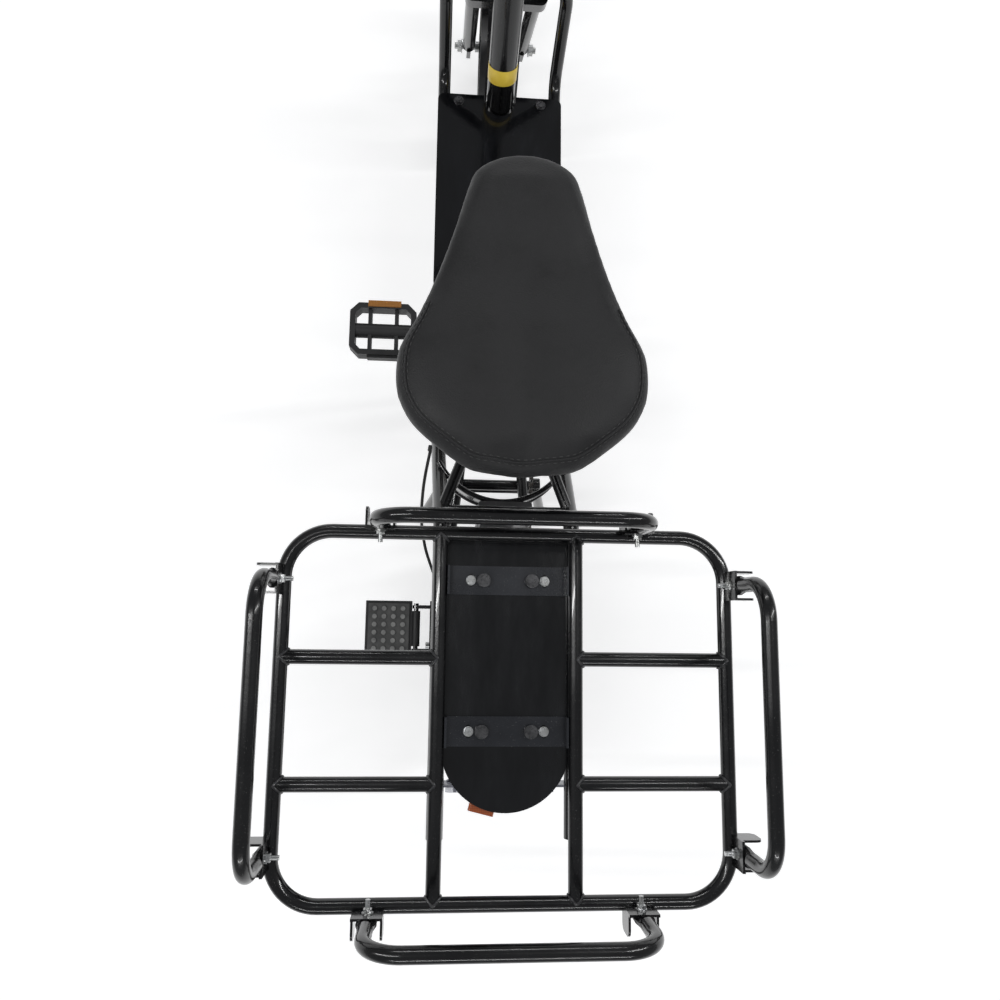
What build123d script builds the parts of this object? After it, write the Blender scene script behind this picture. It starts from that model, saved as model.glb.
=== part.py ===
from build123d import *
import math
import os

# Small pedal-assisted electric bicycle with a long saddle and a railed cargo rack.
# Millimetres. +X is the rider's right, +Y is forward, +Z is up, the ground is Z = 0.
# The origin is on the ground, midway between the rearmost and the foremost point.

# ---------------------------------------------------------------- driving sizes
WHEELBASE = 1225
TYRE_R = 190            # outer radius of both 14-inch tyres
TYRE_SECTION_R = 29     # radius of the tyre's round section
TYRE_WALL = 5
RIM_R = 142             # outer radius of the rim
RIM_HALF_W = 20
AXLE_R = 6
RUN = 0.05              # radial running clearance of every turning fit
GAP = 0.3               # clearance between pieces that only lie side by side

RACK_W = 581            # tube centre to tube centre, across
RACK_L = 463            # tube centre to tube centre, fore and aft
RACK_Z = 650            # height of the rack's tube centres
RACK_TUBE_R = 9.5
RACK_WALL = 1.5
RACK_CORNER_R = 60
RACK_BEHIND = 301       # rear rack tube behind the rear axle
INNER_TUBE_X = 89.5     # the two lengthwise tubes of the rack
CROSS_BAR_Y = (0, -157)  # rack cross bars, from the rear axle
RAIL_H = 130            # guard rail above the rack's tubes
RAIL_PITCH = 335        # leg to leg
RAIL_BEND_R = 45

FRAME_TUBE_R = 11       # the twin main rails
FRAME_WALL = 1.8
FRAME_X = 102           # half the distance between the main rails
DECK_Z = 345            # height of the main rails beside the deck
DECK_FRONT = 985        # centre of the front cross tube, from the rear axle
DECK_REAR = 640         # centre of the rear cross tube, from the rear axle
DECK_T = 2.5
DECK_HALF_W = 113

HEAD_ANGLE = 70         # steering axis above the horizontal
FORK_OFFSET = 25        # axle ahead of the steering axis, at axle height
BB_Y = 519              # bottom bracket ahead of the rear axle
BB_Z = 285
CRANK_L = 135
CRANK_X = 126           # middle plane of each crank arm
PEDAL_X = 194.5         # middle of each pedal
PEDAL_W = 104
PEDAL_L = 88
SEAT_ANGLE = 75
SADDLE_TOP = 850
SADDLE_T = 62
PEG_Y = 32              # foot peg ahead of the rear axle
PEG_Z = 300
PEG_PIN_X = 128
CHAIN_X = 68            # middle plane of the chain
CHAIN_PITCH = 12.7
RING_TEETH = 44
SPROCKET_TEETH = 16

# ---------------------------------------------------------------- derived places
FENDER_R = TYRE_R + 17          # outer radius of both mudguards
EAR_REACH = 30                  # rail bracket ears beyond the rack tube's centre
REAR_END = RACK_BEHIND + EAR_REACH
FRONT_END = WHEELBASE + TYRE_R
REAR_AXLE_Y = (REAR_END - FRONT_END) / 2
FRONT_AXLE_Y = REAR_AXLE_Y + WHEELBASE
RACK_Y = REAR_AXLE_Y - RACK_BEHIND + RACK_L / 2
AXLE_Z = TYRE_R
PLATE_TOP = RACK_Z - RACK_TUBE_R - 0.5
PLATE_T = 2.5
UNDER_RAIL_Z = PLATE_TOP - 5.5 - FRAME_TUBE_R
UPPER_RAIL_Y = 170              # where the main rails level out under the rack
RISE_Y = 430                    # where the main rails leave the deck level
nodes = {}


def at(x, y, z):
    """A point whose y is counted forward from the rear axle."""
    return Vector(x, REAR_AXLE_Y + y, z)


def rod(a, b, r):
    """A plain round bar from a to b."""
    a, b = Vector(a), Vector(b)
    bar = Cylinder(r, (b - a).length, align=(Align.CENTER, Align.CENTER, Align.MIN))
    return Plane(origin=a, z_dir=b - a) * bar


def bar_x(x0, x1, y, z, r):
    """A round bar along X, with y counted from the rear axle."""
    return rod(at(min(x0, x1), y, z), at(max(x0, x1), y, z), r)


def block(x0, x1, y0, y1, z0, z1):
    """A box between two corners, with y counted from the rear axle."""
    size = (abs(x1 - x0), abs(y1 - y0), abs(z1 - z0))
    return Pos(*at((x0 + x1) / 2, (y0 + y1) / 2, (z0 + z1) / 2)) * Box(*size)


def bent_bar(points, r, bend):
    """A round bar bent to a radius at each corner of its route."""
    path = FilletPolyline(*points, radius=bend)
    return sweep(Plane(origin=path @ 0, z_dir=path % 0) * Circle(r), path=path)


def bent_tube(points, r, wall, bend):
    return bent_bar(points, r, bend) - bent_bar(points, r - wall, bend)


def tube(a, b, r, wall):
    return rod(a, b, r) - rod(a, b, r - wall)


def keep(name, *pieces):
    """Store a node, as one shape or as a group of separate shapes."""
    solids = [s for piece in pieces for s in piece.solids()]
    nodes[name] = solids[0] if len(solids) == 1 else Compound(children=solids)
    nodes[name].label = name
    return nodes[name]


def hexagon(across, length):
    """A hexagonal prism standing on its base, with its size across flats."""
    return extrude(RegularPolygon(across / math.sqrt(3), 6), length)


# ---------------------------------------------------------------- main frame
AXIS_TILT = math.radians(HEAD_ANGLE)
AXIS_UP = Vector(0, -math.cos(AXIS_TILT), math.sin(AXIS_TILT))
STEER_FOOT = Vector(0, FRONT_AXLE_Y - FORK_OFFSET, AXLE_Z)
steering = Plane(origin=STEER_FOOT, x_dir=(1, 0, 0), z_dir=AXIS_UP)
HEAD_LOW, HEAD_HIGH = 345, 500      # head tube's ends along the steering axis
HEAD_R, HEAD_BORE_R = 20, 17
DOWN_TUBE_R = 25
DOWN_TUBE_ANGLE = 71
SEAT_TUBE_R = 17
POST_R = 13.6
SEAT_TUBE_TOP = 690
SHELL_R, SHELL_BORE_R, SHELL_HALF = 21, 17, 44
STAY_R = 9.5
STAY_X = 90
DROPOUT_T = 5

SEAT_LEAN = math.radians(SEAT_ANGLE)


def seat_point(z):
    """A point of the seat tube's centre line at a height."""
    return at(0, BB_Y - (z - BB_Z) / math.tan(SEAT_LEAN), z)


RAIL_RISE_AHEAD = 52         # where the main rails turn up, ahead of the front cross tube


def rail_route(side):
    head = STEER_FOOT + AXIS_UP * (HEAD_LOW + 58)
    return [
        head + Vector(side * 8, 0, 0),
        at(side * FRAME_X, DECK_FRONT + RAIL_RISE_AHEAD + 62, DECK_Z + 180),
        at(side * FRAME_X, DECK_FRONT + RAIL_RISE_AHEAD, DECK_Z),
        at(side * FRAME_X, RISE_Y, DECK_Z),
        at(side * INNER_TUBE_X, UPPER_RAIL_Y, UNDER_RAIL_Z),
        at(side * INNER_TUBE_X, -230, UNDER_RAIL_Z),
    ]


RAIL_BENDS = [56, 45, 90, 70]
head_bar = rod(STEER_FOOT + AXIS_UP * HEAD_LOW, STEER_FOOT + AXIS_UP * HEAD_HIGH, HEAD_R)
head_bore = rod(STEER_FOOT + AXIS_UP * HEAD_LOW, STEER_FOOT + AXIS_UP * HEAD_HIGH, HEAD_BORE_R)
keep("head_tube", head_bar - head_bore)

rail_bars = {side: bent_bar(rail_route(side), FRAME_TUBE_R, RAIL_BENDS) for side in (-1, 1)}
for side, name in ((-1, "frame_rail_left"), (1, "frame_rail_right")):
    inside = bent_bar(rail_route(side), FRAME_TUBE_R - FRAME_WALL, RAIL_BENDS)
    keep(name, rail_bars[side] - inside - head_bar)
rails = rail_bars[-1] + rail_bars[1]

front_cross = bar_x(-FRAME_X, FRAME_X, DECK_FRONT, DECK_Z, STAY_R)
rear_cross = bar_x(-FRAME_X, FRAME_X, DECK_REAR, DECK_Z, STAY_R)
foot = at(0, DECK_FRONT, DECK_Z)
lean = math.radians(DOWN_TUBE_ANGLE)
down_top = foot + Vector(0, math.cos(lean), math.sin(lean)) * 250
cup_room = rod(STEER_FOOT, STEER_FOOT + AXIS_UP * HEAD_LOW, HEAD_R + 4)
down_tube = tube(foot, down_top, DOWN_TUBE_R, 2) - front_cross - head_bar - cup_room
below_foot = Pos(*(foot - Vector(0, 0, 60))) * Box(120, 200, 120)
keep("down_tube", max((down_tube - below_foot - rails).solids(), key=lambda s: s.volume))

shell_bar = bar_x(-SHELL_HALF, SHELL_HALF, BB_Y, BB_Z, SHELL_R)
shell = shell_bar - bar_x(-SHELL_HALF, SHELL_HALF, BB_Y, BB_Z, SHELL_BORE_R)

seat_bar = rod(seat_point(BB_Z), seat_point(SEAT_TUBE_TOP), SEAT_TUBE_R) - shell_bar
seat_bore = rod(seat_point(BB_Z), seat_point(SEAT_TUBE_TOP), POST_R + RUN)
clamp_low = seat_point(SEAT_TUBE_TOP - 30)
clamp_top = seat_point(SEAT_TUBE_TOP - 4)
clamp_ring = rod(clamp_low, clamp_top, SEAT_TUBE_R + 5) - rod(clamp_low, clamp_top, SEAT_TUBE_R)
keep("seat_tube", seat_bar - seat_bore + shell - bar_x(-SHELL_HALF, SHELL_HALF, BB_Y, BB_Z, SHELL_BORE_R))
clamp_ear = Pos(*(seat_point(SEAT_TUBE_TOP - 17) - Vector(0, SEAT_TUBE_R + 10, 0))) * Box(18, 16, 20)
clamp_slot = Pos(*(seat_point(SEAT_TUBE_TOP - 17) - Vector(0, SEAT_TUBE_R + 9, 0))) * Box(2, 26, 60)
clamp_hub = seat_point(SEAT_TUBE_TOP - 17) - Vector(0, SEAT_TUBE_R + 12, 0)
clamp_bolt = rod(clamp_hub - Vector(14, 0, 0), clamp_hub + Vector(26, 0, 0), 3)
tube_room = rod(seat_point(SEAT_TUBE_TOP - 80), seat_point(SEAT_TUBE_TOP + 40), SEAT_TUBE_R)
clamp_body = clamp_ring + clamp_ear - tube_room - clamp_slot - clamp_bolt
clamp_lever = rod(clamp_hub + Vector(10, 0, 0), clamp_hub + Vector(22, 0, 0), 7) - clamp_bolt
clamp_arm = rod(clamp_hub + Vector(16, -5, 0), clamp_hub + Vector(16, -5, -52), 4.5)
keep("seat_clamp", clamp_body, clamp_bolt, clamp_lever + clamp_arm - clamp_bolt)

spine = tube(at(0, BB_Y, BB_Z), at(0, DECK_REAR, DECK_Z - 4), 14, 2) - shell_bar - rear_cross - seat_bar
brace_z = 590
upper_cross = bar_x(-96, 96, UPPER_RAIL_Y + 30, brace_z + 3, 8)
braces = Part()
for side in (-1, 1):
    reach = (UNDER_RAIL_Z - brace_z) / (UNDER_RAIL_Z - DECK_Z)
    brace_end = at(side * INNER_TUBE_X, UPPER_RAIL_Y + reach * (RISE_Y - UPPER_RAIL_Y), brace_z)
    braces += rod(seat_point(brace_z), brace_end, 8)
brace_tubes = braces - seat_bar - seat_bore - rails - upper_cross
spine = max(spine.solids(), key=lambda s: s.volume)
keep("seat_braces", spine, *[s for s in brace_tubes.solids() if s.volume > 5000])

CARRIER_BAR_Y = (101, -93)      # straps of the rack and the bars that carry them
under_bars = Part()
for y in CARRIER_BAR_Y:
    under_bars += block(-INNER_TUBE_X, INNER_TUBE_X, y - 15, y + 15, UNDER_RAIL_Z - 6, PLATE_TOP - PLATE_T)

dropout_z = AXLE_Z
stay_bars = Part()
stay_tubes = Part()
for side in (-1, 1):
    chain_stay = (at(side * 34, BB_Y - 6, BB_Z - 2), at(side * STAY_X, 34, dropout_z + 6))
    seat_stay = (at(side * STAY_X, 4, dropout_z + 22), at(side * STAY_X, 30, UNDER_RAIL_Z))
    for a, b in (chain_stay, seat_stay):
        stay_bars += rod(a, b, STAY_R)
        stay_tubes += tube(a, b, STAY_R, 1.6)
stay_bridge = bar_x(-72, 72, 236, 230, 7)
DROPOUT_X = STAY_X + 1
dropouts = Part()
for side in (-1, 1):
    near, far = side * (DROPOUT_X - DROPOUT_T / 2), side * (DROPOUT_X + DROPOUT_T / 2)
    plate = block(near, far, -16, 50, dropout_z - 18, dropout_z + 34)
    dropouts += fillet(plate.edges().filter_by(Axis.X), 12)
axle_hole = bar_x(-STAY_X - 20, STAY_X + 20, 0, AXLE_Z, AXLE_R)
rear_stays = stay_tubes + (stay_bridge - stay_bars) + (dropouts - stay_bars) - axle_hole - shell_bar - rails
stay_pieces = [s for s in rear_stays.solids() if s.volume > 500]
stay_solid = stay_bars + stay_bridge + dropouts

members = (front_cross + rear_cross + under_bars + upper_cross) - rails
bolt_holes = Part()
STRAP_BOLT_X = 32
for y in CARRIER_BAR_Y:
    for x in (-STRAP_BOLT_X, STRAP_BOLT_X):
        bolt_holes += rod(at(x, y, UNDER_RAIL_Z - 20), at(x, y, RACK_Z), 4.5)
members = members - bolt_holes
keep("frame_cross_members", *[s for s in members.solids() if s.volume > 900])

# ---------------------------------------------------------------- deck, battery, controller
DECK_BOTTOM = DECK_Z + FRAME_TUBE_R + 0.2
deck = block(-DECK_HALF_W, DECK_HALF_W, DECK_REAR - 14, DECK_FRONT + 14, DECK_BOTTOM, DECK_BOTTOM + DECK_T)
deck = fillet(deck.edges().filter_by(Axis.Z), 12)
notch_y = DECK_FRONT + (DECK_BOTTOM - DECK_Z) / math.tan(lean)
deck -= rod(at(0, notch_y, DECK_BOTTOM - 5), at(0, notch_y, DECK_BOTTOM + 20), DOWN_TUBE_R + 4)
deck -= block(-DOWN_TUBE_R - 4, DOWN_TUBE_R + 4, notch_y, notch_y + 60, DECK_BOTTOM - 5, DECK_BOTTOM + 20)
DECK_SCREW_X = 75
deck_screws = Part()
for y in (DECK_REAR, DECK_FRONT):
    for x in (-DECK_SCREW_X, DECK_SCREW_X):
        deck_screws += rod(at(x, y, DECK_Z + STAY_R), at(x, y, DECK_BOTTOM + DECK_T + 0.1), 3)
        deck_screws += rod(at(x, y, DECK_BOTTOM + DECK_T), at(x, y, DECK_BOTTOM + DECK_T + 1.5), 9)
        deck_screws += rod(at(x, y, DECK_BOTTOM + DECK_T), at(x, y, DECK_BOTTOM + DECK_T + 5.5), 5.5)
keep("deck_plate", deck - deck_screws)

BATTERY_HALF_W, BATTERY_H = 78, 78
battery = block(-BATTERY_HALF_W, BATTERY_HALF_W, DECK_REAR + 26, DECK_FRONT - 26,
                DECK_BOTTOM - BATTERY_H, DECK_BOTTOM)
battery = fillet(battery.edges().filter_by(Axis.Y), 8)
lock_y = DECK_REAR + 80
lock = bar_x(BATTERY_HALF_W, BATTERY_HALF_W + 5, lock_y, DECK_BOTTOM - 40, 9)
keep("battery_case", battery, lock)

controller = block(-38, 38, UPPER_RAIL_Y + 12, UPPER_RAIL_Y + 46, 490, 584.8)
controller = fillet(controller.edges().filter_by(Axis.Z), 4)
keep("controller_box", controller)

# the pressed sheet hoop that ties the two rising rails together behind the seat tube
HOOP_Z0, HOOP_Z1 = 470, 530


def rising_rail(z):
    """Where the rising stretch of the right main rail is at a height."""
    part = (z - DECK_Z) / (UNDER_RAIL_Z - DECK_Z)
    x = FRAME_X + part * (INNER_TUBE_X - FRAME_X)
    return x, RISE_Y + part * (UPPER_RAIL_Y - RISE_Y)


hoop_mid = (HOOP_Z0 + HOOP_Z1) / 2
hoop_x, hoop_y = rising_rail(hoop_mid)
hoop_arc = ThreePointArc(at(-hoop_x, hoop_y - 4, 0), at(0, hoop_y - 62, 0), at(hoop_x, hoop_y - 4, 0))
hoop_strip = trace(hoop_arc, 2.5)
hoop = Pos(0, 0, HOOP_Z0) * extrude(hoop_strip, HOOP_Z1 - HOOP_Z0)
for z in (HOOP_Z0, HOOP_Z1):
    hoop += Pos(0, 0, z) * sweep(Plane(origin=hoop_arc @ 0, z_dir=hoop_arc % 0) * Circle(4), path=hoop_arc)
hoop -= rails
keep("seat_hoop", max(hoop.solids(), key=lambda s: s.volume))

# ---------------------------------------------------------------- cargo rack
ring_path = Pos(0, RACK_Y, RACK_Z) * RectangleRounded(RACK_W, RACK_L, RACK_CORNER_R).wire()
ring_start = Plane(origin=ring_path @ 0, z_dir=ring_path % 0)
ring_bar = sweep(ring_start * Circle(RACK_TUBE_R), path=ring_path)
ring_inside = sweep(ring_start * Circle(RACK_TUBE_R - RACK_WALL), path=ring_path)
ring_room = sweep(ring_start * Circle(RACK_TUBE_R + RUN), path=ring_path)
keep("rack_ring", ring_bar - ring_inside)
front_y, rear_y = -RACK_BEHIND + RACK_L, -RACK_BEHIND

inner_bars = Part()
inner_tubes = Part()
for side in (-1, 1):
    ends = (at(side * INNER_TUBE_X, rear_y, RACK_Z), at(side * INNER_TUBE_X, front_y, RACK_Z))
    inner_bars += rod(*ends, RACK_TUBE_R)
    inner_tubes += tube(*ends, RACK_TUBE_R, RACK_WALL)
cross_bars = Part()
for y in CROSS_BAR_Y:
    for side in (-1, 1):
        ends = (at(side * INNER_TUBE_X, y, RACK_Z), at(side * RACK_W / 2, y, RACK_Z))
        cross_bars += tube(*ends, RACK_TUBE_R, RACK_WALL)
cross_bars = cross_bars - ring_bar - inner_bars
inner_frame = (inner_tubes - ring_room).solids() + cross_bars.solids()
keep("rack_inner_frame", *[s for s in inner_frame if s.volume > 900])

PLATE_HALF_W = 84
PLATE_FRONT, PLATE_REAR = 155, -195
plate_mid = PLATE_REAR + PLATE_HALF_W
plate_face = Rectangle(2 * PLATE_HALF_W, PLATE_FRONT - plate_mid)
plate_face = Pos(*at(0, (PLATE_FRONT + plate_mid) / 2, 0)) * plate_face
plate_face += Pos(*at(0, plate_mid, 0)) * Circle(PLATE_HALF_W)
lip_face = plate_face - offset(plate_face, amount=-2.5)
plate = Pos(0, 0, PLATE_TOP - PLATE_T) * extrude(plate_face, PLATE_T)
plate += Pos(0, 0, PLATE_TOP - 5) * extrude(lip_face, 5)
plate -= under_bars

STRAP_T, STRAP_W = 3, 38
SLOT_X, SLOT_W, SLOT_L = 49, 6, 17
strap_half = INNER_TUBE_X - RACK_TUBE_R
straps = Part()
slots = Part()
for y in CARRIER_BAR_Y:
    straps += block(-strap_half, strap_half, y - STRAP_W / 2, y + STRAP_W / 2, PLATE_TOP, PLATE_TOP + STRAP_T)
    for side in (-1, 1):
        wall = (side * strap_half, side * (strap_half - STRAP_T))
        straps += block(*wall, y - STRAP_W / 2, y + STRAP_W / 2, PLATE_TOP, RACK_Z + 6)
        slot = extrude(SlotOverall(SLOT_L, SLOT_W, rotation=90), STRAP_T + 2)
        slots += Pos(*at(side * SLOT_X, y, PLATE_TOP - 1)) * slot
slot_bolt_holes = Part()
strap_bolts = Part()
slot_bolts = Part()
for y in CARRIER_BAR_Y:
    top = PLATE_TOP + STRAP_T
    for side in (-1, 1):
        x = side * STRAP_BOLT_X
        dome = Pos(*at(x, y, top)) * (Sphere(10.5) & Pos(0, 0, 5) * Box(30, 30, 10))
        dome = dome & rod(at(x, y, top), at(x, y, top + 5.5), 9)
        strap_bolts += dome + rod(at(x, y, UNDER_RAIL_Z - 18), at(x, y, top + 1), 4)
        nut = Pos(*at(x, y, UNDER_RAIL_Z - 6 - 6.5)) * hexagon(13, 6.5)
        strap_bolts += nut
        x = side * SLOT_X
        slot_bolts += rod(at(x, y, top), at(x, y, top + 1.2), 6.5)
        slot_bolts += Pos(*at(x, y, top + 1.2)) * hexagon(10, 4)
        slot_bolts += rod(at(x, y, PLATE_TOP - PLATE_T - 6), at(x, y, top + 2), 2.5)
        slot_bolts += Pos(*at(x, y, PLATE_TOP - PLATE_T - 4)) * hexagon(8, 4)
        slot_bolt_holes += rod(at(x, y, PLATE_TOP - 10), at(x, y, top), 2.8)
carrier_plate = plate - bolt_holes - slot_bolt_holes
slot_nut_room = Part()
for y in CARRIER_BAR_Y:
    for side in (-1, 1):
        under = at(side * SLOT_X, y, PLATE_TOP - PLATE_T)
        slot_nut_room += rod(under - Vector(0, 0, 8), under, 7)
cut_members = nodes["frame_cross_members"] - slot_nut_room
keep("frame_cross_members", *[s for s in cut_members.solids() if s.volume > 900])
keep("carrier_plate", carrier_plate)
keep("rack_straps", *(straps - bolt_holes - slots).solids())
keep("dome_bolts", strap_bolts, deck_screws)

# guard rails: one U of tube a side, its flattened feet bolted into sheet brackets
LEG_OUT = 7.5           # leg's centre outward of the rack tube's centre
FLAT_T, FLAT_W = 8, 25
BRACKET_T = 3
BOLT_UP = 24            # rail bolt above the rack tube's centre
BRACKET_H = 42
flat_low, flat_high, round_low = 11, 42, 56


def side_frame(turn):
    """A frame whose X runs along a side of the rack and whose Y points outward."""
    half = RACK_L / 2 if turn % 180 == 0 else RACK_W / 2
    centre = Pos(0, RACK_Y, RACK_Z) * Rot(0, 0, turn) * Pos(0, half, 0)
    return centre


def guard_rail():
    half = RAIL_PITCH / 2
    route = [(-half, LEG_OUT, round_low), (-half, LEG_OUT, RAIL_H),
             (half, LEG_OUT, RAIL_H), (half, LEG_OUT, round_low)]
    rail = bent_tube(route, RACK_TUBE_R, RACK_WALL, RAIL_BEND_R)
    for x in (-half, half):
        foot_face = Plane(origin=(x, LEG_OUT, flat_high)) * RectangleRounded(FLAT_W, FLAT_T, 3.5)
        tube_face = Plane(origin=(x, LEG_OUT, round_low)) * Circle(RACK_TUBE_R)
        leg = loft([foot_face, tube_face])
        flat = extrude(RectangleRounded(FLAT_W, FLAT_T, 3.5), flat_high - flat_low)
        leg += Pos(x, LEG_OUT, flat_low) * flat
        rail += leg - rod((x, -30, BOLT_UP), (x, 40, BOLT_UP), 3.3)
    return rail


def rail_bracket(x):
    web_y = LEG_OUT - FLAT_T / 2
    web = Pos(x, web_y - BRACKET_T / 2, BRACKET_H / 2 + 4) * Box(FLAT_W + 13, BRACKET_T, BRACKET_H - 8)
    piece = web
    for side in (-1, 1):
        cheek = Pos(x + side * (FLAT_W / 2 + 5), (web_y + EAR_REACH) / 2, BRACKET_H / 2 - 2)
        ear = Box(BRACKET_T, EAR_REACH - web_y, BRACKET_H - 8)
        ear = fillet(ear.edges().filter_by(Axis.X).group_by(Axis.Y)[-1], 9)
        piece += cheek * ear
        corner = Pos(x + side * (FLAT_W / 2 + 5), web_y - 1, BRACKET_H - 8)
        piece += corner * Box(BRACKET_T, 3, 16)
    piece -= rod((x - 60, 0, 0), (x + 60, 0, 0), RACK_TUBE_R)
    return piece - rod((x, -30, BOLT_UP), (x, 40, BOLT_UP), 3.3)


def rail_bolt(x):
    web_in = LEG_OUT - FLAT_T / 2 - BRACKET_T
    flat_out = LEG_OUT + FLAT_T / 2
    bolt = rod((x, web_in - 16, BOLT_UP), (x, flat_out + 3, BOLT_UP), 3)
    head = Plane(origin=(x, flat_out, BOLT_UP), z_dir=(0, 1, 0)) * hexagon(10, 4.5)
    nut = Plane(origin=(x, web_in, BOLT_UP), z_dir=(0, -1, 0)) * hexagon(10, 5.5)
    washer = rod((x, web_in, BOLT_UP), (x, web_in - 1.4, BOLT_UP), 7)
    return bolt + head + nut + washer


brackets = []
bolts = []
for turn, name in ((0, "front"), (90, "left"), (180, "rear"), (270, "right")):
    place = side_frame(turn)
    keep("guard_rail_" + name, place * guard_rail())
    for x in (-RAIL_PITCH / 2, RAIL_PITCH / 2):
        brackets.append(place * rail_bracket(x))
        bolts.append(place * rail_bolt(x))
keep("rail_brackets", *brackets)
keep("zinc_bolts", *bolts, slot_bolts)

# ---------------------------------------------------------------- wheels
def wheel_ring(points_ry, axle_y):
    """A ring turned about the axle from an outline of (x, radius) points."""
    outline = make_face(Polyline(*[(x, 0, r) for x, r in points_ry], close=True))
    ring = revolve(outline, Axis.X)
    return Pos(0, axle_y, AXLE_Z) * ring


def tyre(axle_y):
    centre_r = TYRE_R - TYRE_SECTION_R
    section = Plane.XZ * Pos(0, centre_r) * Circle(TYRE_SECTION_R)
    section -= Plane.XZ * Pos(0, centre_r) * Circle(TYRE_SECTION_R - TYRE_WALL)
    section -= Plane.XZ * Pos(0, RIM_R - 30) * Rectangle(200, 60)
    return Pos(0, axle_y, AXLE_Z) * revolve(section, Axis.X)


MOTOR_R, MOTOR_HALF = 92, 52
DRUM_R = 50
rim_outline = [(-RIM_HALF_W - 6, RIM_R), (-RIM_HALF_W - 6, RIM_R - 4), (-RIM_HALF_W, RIM_R - 4)]
rim_outline += [(-12, RIM_R - 14), (12, RIM_R - 14), (RIM_HALF_W, RIM_R - 4)]
rim_outline += [(RIM_HALF_W + 6, RIM_R - 4), (RIM_HALF_W + 6, RIM_R)]
rim_outline += [(RIM_HALF_W, RIM_R), (11, RIM_R - 9), (-11, RIM_R - 9), (-RIM_HALF_W, RIM_R)]

keep("rear_tyre", tyre(REAR_AXLE_Y))
rim = wheel_ring(rim_outline, REAR_AXLE_Y)
hub = rod(at(-MOTOR_HALF, 0, AXLE_Z), at(MOTOR_HALF, 0, AXLE_Z), MOTOR_R)
hub = fillet(hub.edges(), 8)
web = bar_x(-5, 5, 0, AXLE_Z, RIM_R - 12) - bar_x(-5, 5, 0, AXLE_Z, MOTOR_R - 6)
for k in range(6):
    turn = math.radians(60 * k)
    middle = (MOTOR_R + RIM_R - 12) / 2
    hole_y, hole_z = middle * math.cos(turn), AXLE_Z + middle * math.sin(turn)
    web -= bar_x(-6, 6, hole_y, hole_z, 13)
hub_inside = bar_x(-MOTOR_HALF + 6, MOTOR_HALF - 6, 0, AXLE_Z, MOTOR_R - 6) - bar_x(-60, 60, 0, AXLE_Z, 62)
drum = bar_x(-MOTOR_HALF - 10, -MOTOR_HALF + 1, 0, AXLE_Z, DRUM_R)
sprocket_boss = bar_x(MOTOR_HALF - 1, MOTOR_HALF + 9, 0, AXLE_Z, 17)
axle_bore = bar_x(-120, 120, 0, AXLE_Z, AXLE_R + RUN)
rear_hub = rim + web + hub + drum + sprocket_boss - hub_inside - axle_bore
keep("rear_hub_and_rim", *[s for s in rear_hub.solids() if s.volume > 500])

AXLE_HALF = 112
NUT_T = 10
rear_axle = bar_x(-AXLE_HALF, AXLE_HALF, 0, AXLE_Z, AXLE_R)


def axle_nuts(axle_y, face_x):
    pieces = Part()
    for side in (-1, 1):
        seat = Plane(origin=(side * face_x, axle_y, AXLE_Z), z_dir=(side, 0, 0))
        pieces += seat * (hexagon(19, NUT_T) - Cylinder(AXLE_R, 60))
        washer = Cylinder(13, 2, align=(Align.CENTER, Align.CENTER, Align.MIN))
        pieces += seat * (washer - Cylinder(AXLE_R, 60))
    return pieces


spacers = Part()
inner_face = DROPOUT_X - DROPOUT_T / 2
BRAKE_X0, BRAKE_X1 = -86, -63
SPROCKET_X0, SPROCKET_X1 = 62, 74
spacers += bar_x(SPROCKET_X1 + 0.6, inner_face, 0, AXLE_Z, 10) - rear_axle
keep("rear_axle", rear_axle, axle_nuts(REAR_AXLE_Y, DROPOUT_X + DROPOUT_T / 2), spacers)

# ---------------------------------------------------------------- rear brake
BRAKE_R = 56
cup = bar_x(BRAKE_X0, BRAKE_X1 + 8, 0, AXLE_Z, BRAKE_R) - bar_x(BRAKE_X0 + 4, 0, 0, AXLE_Z, DRUM_R + 2)
cup = cup - bar_x(-100, 0, 0, AXLE_Z, AXLE_R)
cup += (bar_x(-inner_face, BRAKE_X0, 0, AXLE_Z, 14) - bar_x(-100, 0, 0, AXLE_Z, AXLE_R))
ARM_Y, ARM_Z = 30, AXLE_Z + 62
arm_boss = bar_x(BRAKE_X0, BRAKE_X0 + 16, ARM_Y, ARM_Z - 16, 11)
cup += arm_boss
arm_pin = bar_x(BRAKE_X0 - 9, BRAKE_X0 + 8, ARM_Y, ARM_Z - 16, 4)
cup -= bar_x(BRAKE_X0 - 1, BRAKE_X0 + 8, ARM_Y, ARM_Z - 16, 4)
cup -= stay_solid
keep("brake_housing", max(cup.solids(), key=lambda s: s.volume), arm_pin)
ARM_X0, ARM_X1 = BRAKE_X0 - 7, BRAKE_X0 - 2
arm_low = (ARM_Y, ARM_Z - 16)
arm_high = (ARM_Y + 44, ARM_Z + 26)
arm = bar_x(ARM_X0, ARM_X1, *arm_low, 9) + bar_x(ARM_X0, ARM_X1, *arm_high, 8)
arm_mid = at((ARM_X0 + ARM_X1) / 2, (arm_low[0] + arm_high[0]) / 2, (arm_low[1] + arm_high[1]) / 2)
arm_tilt = math.degrees(math.atan2(arm_high[1] - arm_low[1], arm_high[0] - arm_low[0]))
arm += Pos(*arm_mid) * Rot(arm_tilt, 0, 0) * Box(5, 60, 11)
arm -= bar_x(ARM_X0 - 1, ARM_X1 + 1, *arm_low, 4 + RUN)
keep("brake_arm", arm)

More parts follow.
